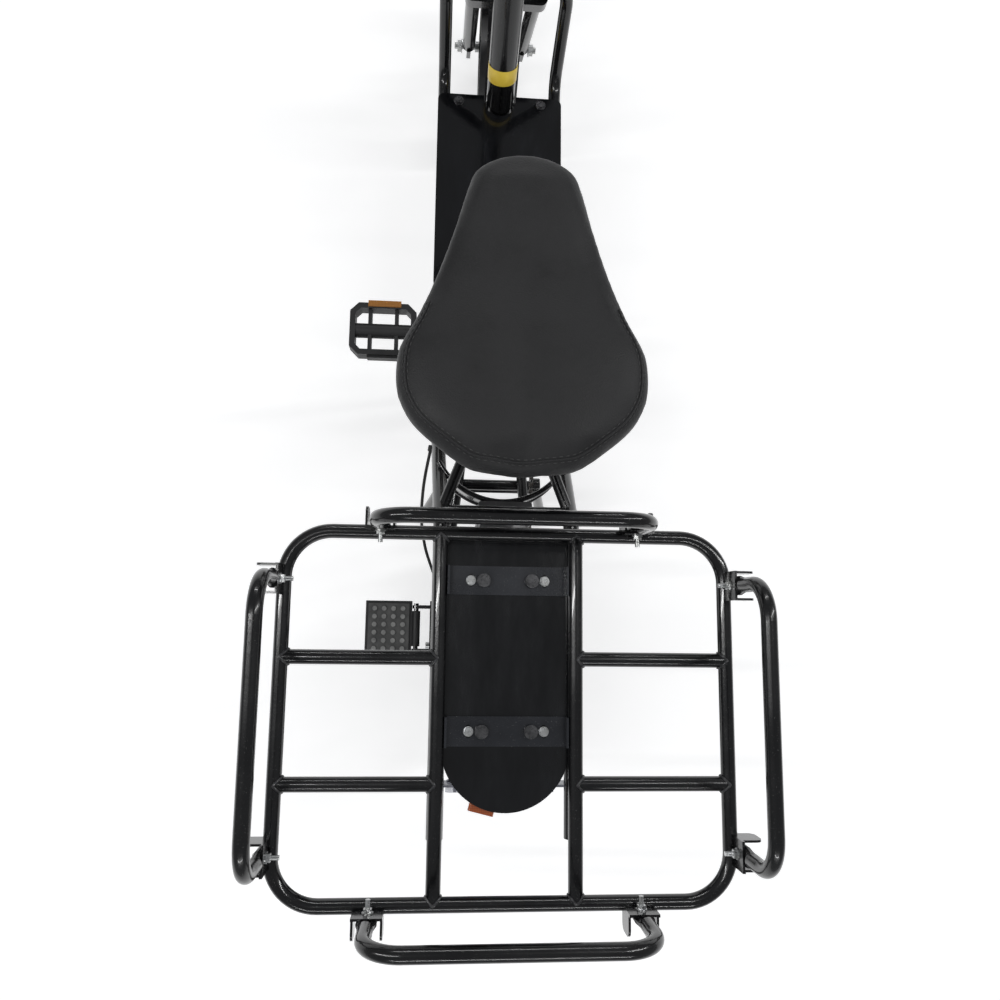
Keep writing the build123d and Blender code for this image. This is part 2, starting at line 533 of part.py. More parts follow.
# the brake cable leaves the left main rail and ends in a boot on its stop
CABLE_R = 2.5
cable_points = [(-107.8, 318, 466), (-119, 266, 430), (-123, 212, 386),
                (-115, 166, 340), (-102, 132, 308), (-91, 106, 292)]
cable_route = [at(*p) for p in cable_points]
cable_bends = []
for before, corner, after in zip(cable_route, cable_route[1:], cable_route[2:]):
    turn = (corner - before).get_angle(after - corner)
    shorter = min((corner - before).length, (after - corner).length)
    cable_bends.append(0.45 * shorter / math.tan(math.radians(turn / 2)))
cable = bent_bar(cable_route, CABLE_R, cable_bends)
cable_way = (cable_route[-1] - cable_route[-2]).normalized()
boot = rod(cable_route[-1] - cable_way * 16, cable_route[-1], 6)
grommet = rod(cable_route[0], cable_route[0] + (cable_route[1] - cable_route[0]).normalized() * 8, 4.5)
keep("brake_cable", max((cable + boot + grommet - rails).solids(), key=lambda s: s.volume))
stop_y, stop_z = cable_points[-1][1] + 6, cable_points[-1][2]
cable_stop = block(-96, -84, stop_y - 1.5, stop_y + 1.5, AXLE_Z + 18, stop_z + 9) - boot - cable - stay_bars
keep("rear_stays", *stay_pieces, max(cable_stop.solids(), key=lambda s: s.volume))

# ---------------------------------------------------------------- drive
RING_R = CHAIN_PITCH * RING_TEETH / (2 * math.pi)
SPROCKET_R = CHAIN_PITCH * SPROCKET_TEETH / (2 * math.pi)
TOOTH = 4.2
RING_T = 3


def sprocket(teeth, pitch_r, x, y, z):
    """A toothed disc across X whose tooth tips lie just under the chain's rollers."""
    disc = Circle(pitch_r - TOOTH)
    root, tip = pitch_r - TOOTH - 1, pitch_r
    wide, narrow = CHAIN_PITCH * 0.23, CHAIN_PITCH * 0.1
    profile = [(root, -wide), (tip, -narrow), (tip, narrow), (root, wide)]
    tooth = make_face(Polyline(*profile, close=True))
    disc += [Rot(0, 0, 360 * k / teeth) * tooth for k in range(teeth)]
    return Plane(origin=at(x - RING_T / 2, y, z), z_dir=(1, 0, 0)) * extrude(disc, RING_T)


ring = sprocket(RING_TEETH, RING_R, CHAIN_X, BB_Y, BB_Z)
for k in range(5):
    turn = math.radians(72 * k)
    ring -= bar_x(CHAIN_X - 5, CHAIN_X + 5, BB_Y + 50 * math.cos(turn), BB_Z + 50 * math.sin(turn), 19)
SPINDLE_R = 8.5
ring -= bar_x(CHAIN_X - 5, CHAIN_X + 5, BB_Y, BB_Z, SPINDLE_R)
keep("chainring", ring)
cog = sprocket(SPROCKET_TEETH, SPROCKET_R, CHAIN_X, 0, AXLE_Z)
cog += bar_x(SPROCKET_X0, SPROCKET_X1, 0, AXLE_Z, 20)
keep("freewheel_sprocket", cog - bar_x(0, 100, 0, AXLE_Z, AXLE_R + RUN))

CHAIN_IN, CHAIN_H, CHAIN_W = 0.4, 8, 7
tilt = math.atan2(BB_Z - AXLE_Z, BB_Y)
apart = math.hypot(BB_Y, BB_Z - AXLE_Z)
open_angle = math.asin((RING_R - SPROCKET_R) / apart)


def belt_face(grow):
    """The area inside a loop laid round both sprockets, grown outward."""
    big, small = RING_R + grow, SPROCKET_R + grow
    s, c = math.sin(open_angle), math.cos(open_angle)
    hull = Polyline((small * -s, small * c), (apart - big * s, big * c),
                    (apart - big * s, -big * c), (small * -s, small * -c), close=True)
    return make_face(hull) + Circle(small) + Pos(apart, 0) * Circle(big)


chain_face = belt_face(CHAIN_IN + CHAIN_H) - belt_face(CHAIN_IN)
chain_start = at(CHAIN_X - CHAIN_W / 2, 0, AXLE_Z)
chain_plane = Plane(origin=chain_start, x_dir=(0, math.cos(tilt), math.sin(tilt)), z_dir=(1, 0, 0))
keep("chain", chain_plane * extrude(chain_face, CHAIN_W))

bearing_faces = ((-SHELL_HALF, -SHELL_HALF + 12), (SHELL_HALF - 12, SHELL_HALF))
bearings = Part()
for x0, x1 in bearing_faces:
    bearings += bar_x(x0, x1, BB_Y, BB_Z, SHELL_BORE_R) - bar_x(x0, x1, BB_Y, BB_Z, SPINDLE_R + RUN)
CRANK_T = 14
spindle_half = CRANK_X + CRANK_T / 2
spindle = bar_x(-spindle_half, spindle_half, BB_Y, BB_Z, SPINDLE_R)
crank_arms = []
for side, up, name in ((-1, 1, "left"), (1, -1, "right")):
    x0, x1 = side * (CRANK_X - CRANK_T / 2), side * (CRANK_X + CRANK_T / 2)
    tip_z = BB_Z + up * CRANK_L
    crank = bar_x(x0, x1, BB_Y, BB_Z, 17) + bar_x(x0, x1, BB_Y, tip_z, 12)
    crank += block(x0, x1, BB_Y - 10, BB_Y + 10, min(BB_Z, tip_z), max(BB_Z, tip_z))
    crank -= bar_x(x0, x1, BB_Y, BB_Z, SPINDLE_R)
    crank += bar_x(side * CRANK_X, side * (PEDAL_X + PEDAL_W / 2 - 8), BB_Y, tip_z, 5)
    crank += bar_x(x1, side * (spindle_half + 4), BB_Y, tip_z, 9)
    crank_arms.append(crank)

    pedal_in = spindle_half + 5
    centre = at(side * (pedal_in + PEDAL_X + PEDAL_W / 2) / 2, BB_Y, tip_z)
    span = PEDAL_X + PEDAL_W / 2 - pedal_in
    corner, far_x, far_y = 14, span / 2, PEDAL_L / 2
    outline = [(-far_x, -far_y + corner), (-far_x + corner, -far_y)]
    outline += [(-x, y) for x, y in reversed(outline)]
    outline += [(-x, -y) for x, y in outline]
    cage = make_face(Polyline(*outline, close=True))
    cage = extrude(cage - offset(cage, amount=-9), 26)
    body = Rot(0, 90, 0) * Cylinder(12, span)
    pedal = Pos(*centre) * (Pos(0, 0, -13) * cage + body)
    for rib in (-1, 1):
        pedal += Pos(*centre) * Pos(rib * span / 5, 0, 0) * Box(6, PEDAL_L - 6, 16)
    pedal -= bar_x(side * 100, side * (PEDAL_X + PEDAL_W / 2 - 7), BB_Y, tip_z, 5 + RUN)
    reflectors = Part()
    for end in (-1, 1):
        reflectors += Pos(*centre) * Pos(0, end * (PEDAL_L / 2 + 2), 0) * Box(50, 4, 16)
    keep("pedal_" + name, pedal, reflectors)
keep("cranks_and_spindle", spindle, *crank_arms)

# ---------------------------------------------------------------- foot pegs
PEG_L, PEG_W, PEG_T = 94, 79, 10
PEG_PIN_R = 4
peg_in, peg_out = 7, 7 + PEG_W


def peg_parts(side, folded):
    """Bracket, tray and pad of one peg, with the tray flat or folded up against its stop."""
    pin = (side * PEG_PIN_X, PEG_Z)
    turn = Pos(*at(pin[0], PEG_Y, pin[1])) * Rot(0, -90 * side * folded, 0)
    knuckle = Rot(90, 0, 0) * Cylinder(7, PEG_L - 34)
    tray = Pos(side * (peg_in + PEG_W / 2), 0, 0) * Box(PEG_W, PEG_L, PEG_T)
    tray -= Pos(side * (peg_in + PEG_W / 2), 0, 4) * Box(PEG_W - 8, PEG_L - 8, PEG_T)
    arm = Pos(side * (peg_in / 2 + 2), 0, 0) * Box(peg_in + 4, PEG_L - 34, 8)
    tray = tray + arm + knuckle - Rot(90, 0, 0) * Cylinder(PEG_PIN_R + RUN, 200)
    pad = Pos(side * (peg_in + PEG_W / 2), 0, 3.5) * Box(PEG_W - 9, PEG_L - 9, 9)
    studs = Part()
    for i in range(6):
        for j in range(4):
            stud = Pos(side * (peg_in + PEG_W / 2) + (j - 1.5) * 16, (i - 2.5) * 13.5, 8)
            studs += stud * Cylinder(4, 3, align=(Align.CENTER, Align.CENTER, Align.MIN))
    return turn * tray, turn * (pad + studs)


for side, folded, name in ((-1, 0, "left"), (1, 1, "right")):
    tray, pad = peg_parts(side, folded)
    keep("foot_peg_" + name, tray)
    keep("foot_peg_pad_" + name, pad)
brackets = []
pins = []
for side in (-1, 1):
    wall_x = side * (STAY_X + STAY_R + 3)
    inner, outer = side * (STAY_X + STAY_R - 2), side * (wall_x * side + 2)
    base = block(inner, outer, PEG_Y - PEG_L / 2, PEG_Y + PEG_L / 2, PEG_Z - 30, PEG_Z + 14)
    ears = Part()
    for end in (-1, 1):
        y = PEG_Y + end * (PEG_L / 2 - 10)
        ear = block(wall_x, side * PEG_PIN_X, y - 3, y + 3, PEG_Z - 6.5, PEG_Z + 6.5)
        ear += rod(at(side * PEG_PIN_X, y - 3, PEG_Z), at(side * PEG_PIN_X, y + 3, PEG_Z), 6.5)
        ears += ear
    pin_start = at(side * PEG_PIN_X, PEG_Y - PEG_L / 2 + 4, PEG_Z)
    pin_bar = rod(pin_start, pin_start + Vector(0, PEG_L - 8, 0), PEG_PIN_R)
    brackets.append(base + ears - pin_bar - stay_bars)
    pins.append(pin_bar)
keep("foot_peg_brackets", *brackets, *pins)

# ---------------------------------------------------------------- centre stand
STAND_Y, STAND_Z = 300, 214
STAND_PIVOT_R = 10
LEG_X0, LEG_X1 = 86, 124
LEG_R = 10
pivot = bar_x(-76, 76, STAND_Y, STAND_Z, STAND_PIVOT_R)
pivot -= bar_x(-76, 76, STAND_Y, STAND_Z, STAND_PIVOT_R - 2)
tabs = Part()
for side in (-1, 1):
    tabs += block(side * 54, side * 60, STAND_Y - 14, STAND_Y + 14, STAND_Z, STAND_Z + 30)
tabs = tabs - bar_x(-90, 90, STAND_Y, STAND_Z, STAND_PIVOT_R) - stay_bars
keep("stand_pivot", pivot, bar_x(-96, 96, STAND_Y, STAND_Z, STAND_PIVOT_R - 2), tabs)
STAND_TIE_DROP = 26
TIE_R = 7
tie = bar_x(-94, 94, STAND_Y - 4, STAND_Z - STAND_TIE_DROP, TIE_R)
legs, feet = [], []
for side in (-1, 1):
    sole = at(side * LEG_X1, STAND_Y - 34, 5)
    eye = bar_x(side * 77, side * 95, STAND_Y, STAND_Z, 15)
    leg = rod(at(side * LEG_X0, STAND_Y, STAND_Z), sole + Vector(0, 0, LEG_R), LEG_R)
    legs.append(eye + leg - bar_x(side * 70, side * 100, STAND_Y, STAND_Z, STAND_PIVOT_R - 2 + RUN))
    feet.append(Pos(*(sole + Vector(0, 0, 5))) * Cylinder(17, 20) - leg)
foot_rest = at(-LEG_X1, STAND_Y - 34, 0)
tie_bar = max((tie - legs[0] - legs[1]).solids(), key=lambda s: s.volume)
foot_solids = [max(foot.solids(), key=lambda s: s.volume) for foot in feet]
keep("centre_stand", *legs, tie_bar, *foot_solids)

# ---------------------------------------------------------------- mudguards, number panel, reflector
FENDER_HALF_W = 37


def fender(axle_y, start, sweep_angle):
    """A mudguard: part of a shallow channel turned about the axle."""
    r0, r1, w = FENDER_R - 2.5, FENDER_R, FENDER_HALF_W
    outside = [(-w, 0, r0 - 9), (-w, 0, r1 - 6), (-w + 12, 0, r1)]
    inside = [(-w + 2, 0, r0 - 9), (-w + 2, 0, r1 - 7.5), (-w + 12.5, 0, r0)]
    outside += [(-x, y, z) for x, y, z in reversed(outside)]
    inside += [(-x, y, z) for x, y, z in reversed(inside)]
    outline = Polyline(*outside, *reversed(inside), close=True)
    band = revolve(make_face(outline), Axis.X, revolution_arc=sweep_angle)
    return Pos(0, axle_y, AXLE_Z) * Rot(start, 0, 0) * band


rear_fender = fender(REAR_AXLE_Y, -75, 165)
fender_tab = block(-12, 12, -20, 20, AXLE_Z + FENDER_R - 0.5, AXLE_Z + FENDER_R + 3)
fender_post = tube(at(0, 0, AXLE_Z + FENDER_R + 2.5), at(0, -93, UNDER_RAIL_Z - 6), 6, 1.5)
under_box = block(-INNER_TUBE_X, INNER_TUBE_X, -110, -76, UNDER_RAIL_Z - 6, PLATE_TOP)
post = max((fender_post - under_box - fender_tab - rear_fender).solids(), key=lambda s: s.volume)
keep("rear_mudguard", rear_fender + fender_tab + post)

PANEL_W, PANEL_H = 150, 105
PANEL_Y, PANEL_Z, PANEL_TILT = -178, 556, 20
panel = Pos(*at(0, PANEL_Y, PANEL_Z)) * Rot(-PANEL_TILT, 0, 0) * Box(PANEL_W, 2, PANEL_H)
panel = fillet(panel.edges().filter_by(lambda e: abs(e.length - 2) < 0.01), 8)
hanger = Part()
for side in (-1, 1):
    ear_out = side * (INNER_TUBE_X - FRAME_TUBE_R + 4)
    hanger += block(side * 62, ear_out, PANEL_Y + 12, PANEL_Y + 15, UNDER_RAIL_Z - 30, UNDER_RAIL_Z + 2)
    hanger += block(side * 62, side * 66, PANEL_Y + 4, PANEL_Y + 15, UNDER_RAIL_Z - 30, UNDER_RAIL_Z - 8)
hanger = hanger - rails - panel
keep("number_panel", panel, *[s for s in hanger.solids() if s.volume > 500])
lens_block = Box(34, 10, 13)
lens_block = fillet(lens_block.edges().filter_by(Axis.Y), 3)
keep("tail_reflector", Pos(*at(-30, -192, PLATE_TOP - 12)) * Rot(0, 0, -14) * lens_block)

# ---------------------------------------------------------------- saddle
saddle_y = [582, 577, 562, 530, 491, 430, 380, 349, 318, 290, 264, 238, 222, 215]
saddle_half = [0, 28, 52, 66, 78, 99, 122, 135, 139, 136, 123, 93, 62, 34]
SADDLE_REAR = 212
CUSHION_BOTTOM = SADDLE_TOP - SADDLE_T


def saddle_face(grow, z):
    """The saddle's outline, shrunk about its middle, at a height."""
    right = [(w * grow, 400 + (y - 400) * grow) for y, w in zip(saddle_y, saddle_half)]
    rear = (0, 400 + (SADDLE_REAR - 400) * grow)
    half = Spline(*right, rear, tangents=((1, 0), (-1, 0)))
    outline = make_face(half + mirror(half, about=Plane.YZ))
    return Pos(0, REAR_AXLE_Y, z) * outline


cushion = loft([saddle_face(0.93, CUSHION_BOTTOM), saddle_face(1, CUSHION_BOTTOM + 26)])
cushion += loft([saddle_face(1, CUSHION_BOTTOM + 26), saddle_face(0.97, SADDLE_TOP - 12)])
cushion += loft([saddle_face(0.97, SADDLE_TOP - 12), saddle_face(0.84, SADDLE_TOP)])
keep("saddle_cushion", cushion)

BASE_T = 4
base = extrude(saddle_face(0.9, CUSHION_BOTTOM - GAP - BASE_T), BASE_T)
post_top = seat_point(CUSHION_BOTTOM - 26)
wires = Part()
for side in (-1, 1):
    route = [at(side * 16, 520, CUSHION_BOTTOM - 8), at(side * 22, 470, CUSHION_BOTTOM - 22),
             at(side * 22, 330, CUSHION_BOTTOM - 22), at(side * 60, 268, CUSHION_BOTTOM - 8)]
    wires += bent_bar(route, 4, 18)
springs = Part()
for side in (-1, 1):
    springs += rod(at(side * 60, 268, CUSHION_BOTTOM - 54), at(side * 60, 268, CUSHION_BOTTOM - 4), 15)
    springs -= rod(at(side * 60, 268, CUSHION_BOTTOM - 46), at(side * 60, 268, CUSHION_BOTTOM - 14), 11)
base_pan = base + wires + springs
head_block = Pos(*(post_top + Vector(0, 0, 2))) * Box(56, 40, 18)
yoke = Part()
for side in (-1, 1):
    yoke += rod(at(side * 60, 268, CUSHION_BOTTOM - 50), post_top + Vector(side * 18, 0, -6), 5)
seat_post = rod(seat_point(SEAT_TUBE_TOP - 170), post_top, POST_R) + head_block + yoke - base_pan
keep("seat_post", max(seat_post.solids(), key=lambda s: s.volume))
keep("saddle_base", *[s for s in base_pan.solids() if s.volume > 500])

# ---------------------------------------------------------------- fork, bars, front wheel
BLADE_X, BLADE_R = 55, 13
STEM_R = 12.7
CROWN_LOW, CROWN_HIGH = 292, 322
BAR_UP = 775
axle_along = -FORK_OFFSET * math.cos(AXIS_TILT)
blade_out = FORK_OFFSET * math.sin(AXIS_TILT)
crown_mid = (CROWN_LOW + CROWN_HIGH) / 2
fork = Pos(0, blade_out / 2, crown_mid) * Box(2 * BLADE_X + 30, 44, CROWN_HIGH - CROWN_LOW)
fork = fillet(fork.edges().filter_by(Axis.Z), 12)
for side in (-1, 1):
    blade_foot = (side * BLADE_X, blade_out, axle_along + 8)
    fork += rod(blade_foot, (side * BLADE_X, blade_out, CROWN_LOW + 4), BLADE_R)
    fork += Pos(side * BLADE_X, blade_out, axle_along) * Box(8, 34, 40)
fork += rod((0, 0, CROWN_LOW + 4), (0, 0, HEAD_HIGH + 26), STEM_R)
fork -= Pos(0, blade_out, axle_along) * (Rot(0, 90, 0) * Cylinder(AXLE_R, 300))
bearing_rings = Part()
for s0, s1 in ((HEAD_LOW, HEAD_LOW + 14), (HEAD_HIGH - 14, HEAD_HIGH)):
    bearing_rings += rod((0, 0, s0), (0, 0, s1), HEAD_BORE_R) - rod((0, 0, s0), (0, 0, s1), STEM_R + RUN)
keep("frame_bearings", steering * bearing_rings, bearings)
cups = rod((0, 0, HEAD_HIGH + 0.6), (0, 0, HEAD_HIGH + 16), 20) - rod((0, 0, 0), (0, 0, 900), STEM_R)
cups += rod((0, 0, CROWN_HIGH), (0, 0, HEAD_LOW - 0.6), 22) - rod((0, 0, 0), (0, 0, 900), STEM_R)
keep("front_fork", steering * fork, steering * cups)
stem = rod((0, 0, HEAD_HIGH + 16.2), (0, 0, BAR_UP), 15) - rod((0, 0, 0), (0, 0, HEAD_HIGH + 26), STEM_R)
BAR_R, BAR_HALF = 11, 288
bar_route = [(-BAR_HALF, -66, BAR_UP + 52), (-150, -20, BAR_UP + 52), (-62, 0, BAR_UP)]
bar_route += [(-x, y, z) for x, y, z in reversed(bar_route)]
handlebar = bent_bar(bar_route, BAR_R, [45, 45, 45, 45])
clamp_block = Rot(0, 90, 0) * Cylinder(19, 46)
stem += Pos(0, 0, BAR_UP) * clamp_block
stem -= handlebar
hollow_bar = handlebar - bent_bar(bar_route, BAR_R - 2, [45, 45, 45, 45])
stem = max(stem.solids(), key=lambda s: s.volume)
GRIP_L, GRIP_R = 112, 16
bar_end = {side: Vector(side * BAR_HALF, -66, BAR_UP + 52) for side in (-1, 1)}
bar_dir = {side: Vector(side * (BAR_HALF - 150), -46, 0).normalized() for side in (-1, 1)}
for side, name in ((-1, "grip_left"), (1, "throttle_grip")):
    inner = bar_end[side] - bar_dir[side] * GRIP_L
    bore = BAR_R + (RUN if side > 0 else 0)
    tip = bar_end[side]
    grip = rod(inner, tip, GRIP_R) + rod(inner, inner + bar_dir[side] * 5, GRIP_R + 3)
    keep(name, steering * (grip - rod(inner - bar_dir[side] * 5, tip + bar_dir[side] * 5, bore)))
perch_mid = bar_end[-1] - bar_dir[-1] * (GRIP_L + 18)
perch = rod(perch_mid - bar_dir[-1] * 11, perch_mid + bar_dir[-1] * 11, 17)
pivot_at = perch_mid + Vector(0, 27, 0)
perch += Pos(*(perch_mid + Vector(0, 21, 0))) * Box(17, 22, 19)
lever_gap = Pos(*(pivot_at + Vector(0, 4, 0))) * Box(60, 26, 8.6)
pin = rod(pivot_at - Vector(0, 0, 9), pivot_at + Vector(0, 0, 9), 3)
bar_room = rod(perch_mid - bar_dir[-1] * 30, perch_mid + bar_dir[-1] * 30, BAR_R)
perch = perch - lever_gap - pin - bar_room
perch = max(perch.solids(), key=lambda s: s.volume)
keep("handlebar", *[steering * piece for piece in (hollow_bar, stem, perch, pin)])
lever_tip = pivot_at + bar_dir[-1] * 122 + Vector(0, 14, 0)
lever_mid = pivot_at + bar_dir[-1] * 26 + Vector(0, 16, 0)
lever = bent_bar([pivot_at, lever_mid, lever_tip], 3.8, 14)
lever += rod(pivot_at - Vector(0, 0, 4), pivot_at + Vector(0, 0, 4), 7) + Pos(*lever_tip) * Sphere(6)
lever -= rod(pivot_at - Vector(0, 0, 20), pivot_at + Vector(0, 0, 20), 3 + RUN)
keep("brake_lever", steering * max(lever.solids(), key=lambda s: s.volume))

lamp = Pos(0, 52, BAR_UP - 120) * (Rot(90, 0, 0) * Cylinder(34, 46))
lamp_arm = Pos(0, 22, BAR_UP - 120) * Box(16, 20, 26) - rod((0, 0, 0), (0, 0, 900), 15)
lens = Pos(0, 77, BAR_UP - 120) * (Rot(90, 0, 0) * Cylinder(31, 4))
keep("headlamp", steering * (lamp + lamp_arm - lens), steering * lens)

keep("front_tyre", tyre(FRONT_AXLE_Y))
front_rim = wheel_ring(rim_outline, FRONT_AXLE_Y)
front_hub = bar_x(-34, 34, WHEELBASE, AXLE_Z, 22)
spokes = Part()
for k in range(5):
    turn = Pos(0, FRONT_AXLE_Y, AXLE_Z) * Rot(72 * k, 0, 0)
    spokes += turn * Pos(0, 0, 74) * Box(16, 24, RIM_R - 32)
front_wheel = front_rim + front_hub + spokes - bar_x(-60, 60, WHEELBASE, AXLE_Z, AXLE_R + RUN)
keep("front_rim", *[s for s in front_wheel.solids() if s.volume > 500])
front_axle = rod((-84, FRONT_AXLE_Y, AXLE_Z), (84, FRONT_AXLE_Y, AXLE_Z), AXLE_R)
front_spacers = Part()
for side in (-1, 1):
    spacer = bar_x(side * 34.6, side * 41.8, WHEELBASE, AXLE_Z, 10)
    front_spacers += spacer - bar_x(-60, 60, WHEELBASE, AXLE_Z, AXLE_R)
front_nuts = axle_nuts(FRONT_AXLE_Y, BLADE_X + BLADE_R + GAP)
keep("front_axle", front_axle, front_nuts, front_spacers)
front_fender = fender(FRONT_AXLE_Y, -40, 120)
rib_low = FENDER_R + axle_along - 3
fender_rib = Pos(0, 4, (rib_low + CROWN_LOW) / 2) * Box(20, 4, CROWN_LOW - rib_low)
front_fender += steering * fender_rib
keep("front_mudguard", front_fender - nodes["front_fork"])

if __name__ == "__main__":
    os.makedirs("parts", exist_ok=True)
    for name, shape in nodes.items():
        export_step(shape, f"parts/{name}.step")
    print(len(nodes), "nodes")
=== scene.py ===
import math
import random

import bmesh
import bpy
from mathutils import Matrix, Vector
from mathutils.bvhtree import BVHTree


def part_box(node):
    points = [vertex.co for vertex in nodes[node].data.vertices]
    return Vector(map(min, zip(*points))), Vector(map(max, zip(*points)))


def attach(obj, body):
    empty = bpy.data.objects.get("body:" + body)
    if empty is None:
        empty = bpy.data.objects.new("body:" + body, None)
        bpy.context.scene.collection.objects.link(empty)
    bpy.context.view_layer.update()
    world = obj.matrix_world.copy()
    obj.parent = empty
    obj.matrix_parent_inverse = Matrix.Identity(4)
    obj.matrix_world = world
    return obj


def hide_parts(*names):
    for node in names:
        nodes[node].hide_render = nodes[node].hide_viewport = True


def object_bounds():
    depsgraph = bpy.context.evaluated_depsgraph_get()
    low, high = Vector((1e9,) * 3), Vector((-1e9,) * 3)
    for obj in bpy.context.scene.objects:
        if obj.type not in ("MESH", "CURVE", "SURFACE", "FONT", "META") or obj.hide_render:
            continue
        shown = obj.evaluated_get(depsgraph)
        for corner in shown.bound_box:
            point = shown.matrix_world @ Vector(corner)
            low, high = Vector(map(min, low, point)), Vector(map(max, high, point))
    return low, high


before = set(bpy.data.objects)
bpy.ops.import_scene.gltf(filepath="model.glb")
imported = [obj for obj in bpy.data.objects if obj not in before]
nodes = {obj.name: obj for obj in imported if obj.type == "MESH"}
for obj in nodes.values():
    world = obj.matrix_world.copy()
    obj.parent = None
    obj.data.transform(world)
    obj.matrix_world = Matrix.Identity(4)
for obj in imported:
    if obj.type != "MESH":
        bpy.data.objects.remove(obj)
cad_low, cad_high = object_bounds()

# ---------------------------------------------------------------- welded frame and rack
# Steel tube and pressed sheet, MIG welded, then sprayed in thick gloss black enamel.
# The enamel has a slight orange peel, a film of dust on top, and a few rubbed spots.


def new_material(name):
    """A material with its shader node and a function that adds and links nodes."""
    material = bpy.data.materials.new(name)
    material.use_nodes = True
    tree = material.node_tree
    shader = tree.nodes["Principled BSDF"]
    return material, tree, shader


def add_node(tree, kind, **values):
    node = tree.nodes.new(kind)
    for key, value in values.items():
        if key in node.inputs:
            node.inputs[key].default_value = value
        else:
            setattr(node, key, value)
    return node


def place_coords(tree, stretch=(1, 1, 1)):
    """Coordinates in metres fixed to the object."""
    coords = tree.nodes.new("ShaderNodeTexCoord")
    mapping = tree.nodes.new("ShaderNodeMapping")
    mapping.inputs["Scale"].default_value = stretch
    tree.links.new(coords.outputs["Object"], mapping.inputs["Vector"])
    return mapping.outputs["Vector"]


def noise(tree, place, scale, detail=4.0, rough=0.55):
    node = tree.nodes.new("ShaderNodeTexNoise")
    node.inputs["Scale"].default_value = scale
    node.inputs["Detail"].default_value = detail
    node.inputs["Roughness"].default_value = rough
    tree.links.new(place, node.inputs["Vector"])
    return node.outputs["Fac"]


def ramp(tree, value, stops):
    """A colour ramp from (position, colour) stops."""
    node = tree.nodes.new("ShaderNodeValToRGB")
    elements = node.color_ramp.elements
    while len(elements) < len(stops):
        elements.new(0.5)
    for element, (position, colour) in zip(elements, stops):
        element.position = position
        element.color = (*colour, 1)
    tree.links.new(value, node.inputs["Fac"])
    return node.outputs["Color"]


def spread(tree, value, low, high, start=0.3, end=0.7):
    node = tree.nodes.new("ShaderNodeMapRange")
    node.inputs["From Min"].default_value = start
    node.inputs["From Max"].default_value = end
    node.inputs["To Min"].default_value = low
    node.inputs["To Max"].default_value = high
    tree.links.new(value, node.inputs["Value"])
    return node.outputs["Result"]


def bump(tree, height, strength, distance, below=None):
    node = tree.nodes.new("ShaderNodeBump")
    node.inputs["Strength"].default_value = strength
    node.inputs["Distance"].default_value = distance
    tree.links.new(height, node.inputs["Height"])
    if below is not None:
        tree.links.new(below, node.inputs["Normal"])
    return node.outputs["Normal"]


def enamel(name, dark, light, rough=(0.12, 0.3), dust=0.35):
    """Sprayed gloss paint: two close tones, orange peel, and dust that dulls it in patches."""
    material, tree, shader = new_material(name)
    place = place_coords(tree)
    patches = noise(tree, place, 9, 6)
    specks = noise(tree, place, 900, 2)
    tone = ramp(tree, patches, [(0.35, dark), (0.7, light)])
    dusting = ramp(tree, specks, [(0.69, (0, 0, 0)), (0.76, (dust, dust, dust * 0.95))])
    mix = add_node(tree, "ShaderNodeMix", data_type="RGBA", blend_type="SCREEN")
    mix.inputs[0].default_value = 0.5
    tree.links.new(tone, mix.inputs[6])
    tree.links.new(dusting, mix.inputs[7])
    tree.links.new(mix.outputs[2], shader.inputs["Base Color"])
    tree.links.new(spread(tree, patches, *rough), shader.inputs["Roughness"])
    shader.inputs["Specular IOR Level"].default_value = 0.4
    shader.inputs["Coat Weight"].default_value = 0.35
    shader.inputs["Coat Roughness"].default_value = 0.06
    peel = bump(tree, noise(tree, place, 260, 2), 0.12, 0.0006)
    dents = bump(tree, noise(tree, place, 24, 3), 0.1, 0.002, peel)
    tree.links.new(dents, shader.inputs["Normal"])
    return material


def dress(node, *materials):
    """Give a CAD node its materials."""
    mesh = nodes[node].data
    mesh.materials.clear()
    for material in materials:
        mesh.materials.append(material)


def dress_where(node, slot_index, inside):
    """Give a second material to the faces whose centres pass a test."""
    for face in nodes[node].data.polygons:
        if inside(face.center):
            face.material_index = slot_index


black_enamel = enamel("black_enamel", (0.0015, 0.0015, 0.002), (0.004, 0.004, 0.0045))
painted = ["frame_rail_left", "frame_rail_right", "head_tube", "down_tube", "seat_tube", "seat_braces"]
painted += ["frame_cross_members", "rear_stays", "stand_pivot", "foot_peg_brackets", "seat_hoop"]
painted += ["rack_ring", "rack_inner_frame", "rail_brackets", "guard_rail_front"]
painted += ["guard_rail_rear", "guard_rail_left", "guard_rail_right", "centre_stand", "front_fork", "seat_post"]
for node in painted:
    dress(node, black_enamel)


def centre(node):
    low, high = (Vector(corner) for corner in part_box(node))
    return (low + high) / 2


def size(node):
    low, high = (Vector(corner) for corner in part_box(node))
    return high - low


def add_mesh(name, vertices, faces, material, body, smooth=True):
    """A piece made from plain lists, which rides on a body."""
    mesh = bpy.data.meshes.new(name)
    mesh.from_pydata([tuple(v) for v in vertices], [], faces)
    mesh.validate()
    mesh.update()
    piece = bpy.data.objects.new(name, mesh)
    bpy.context.scene.collection.objects.link(piece)
    mesh.materials.append(material)
    if smooth:
        mesh.polygons.foreach_set("use_smooth", [True] * len(mesh.polygons))
    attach(piece, body)
    return piece


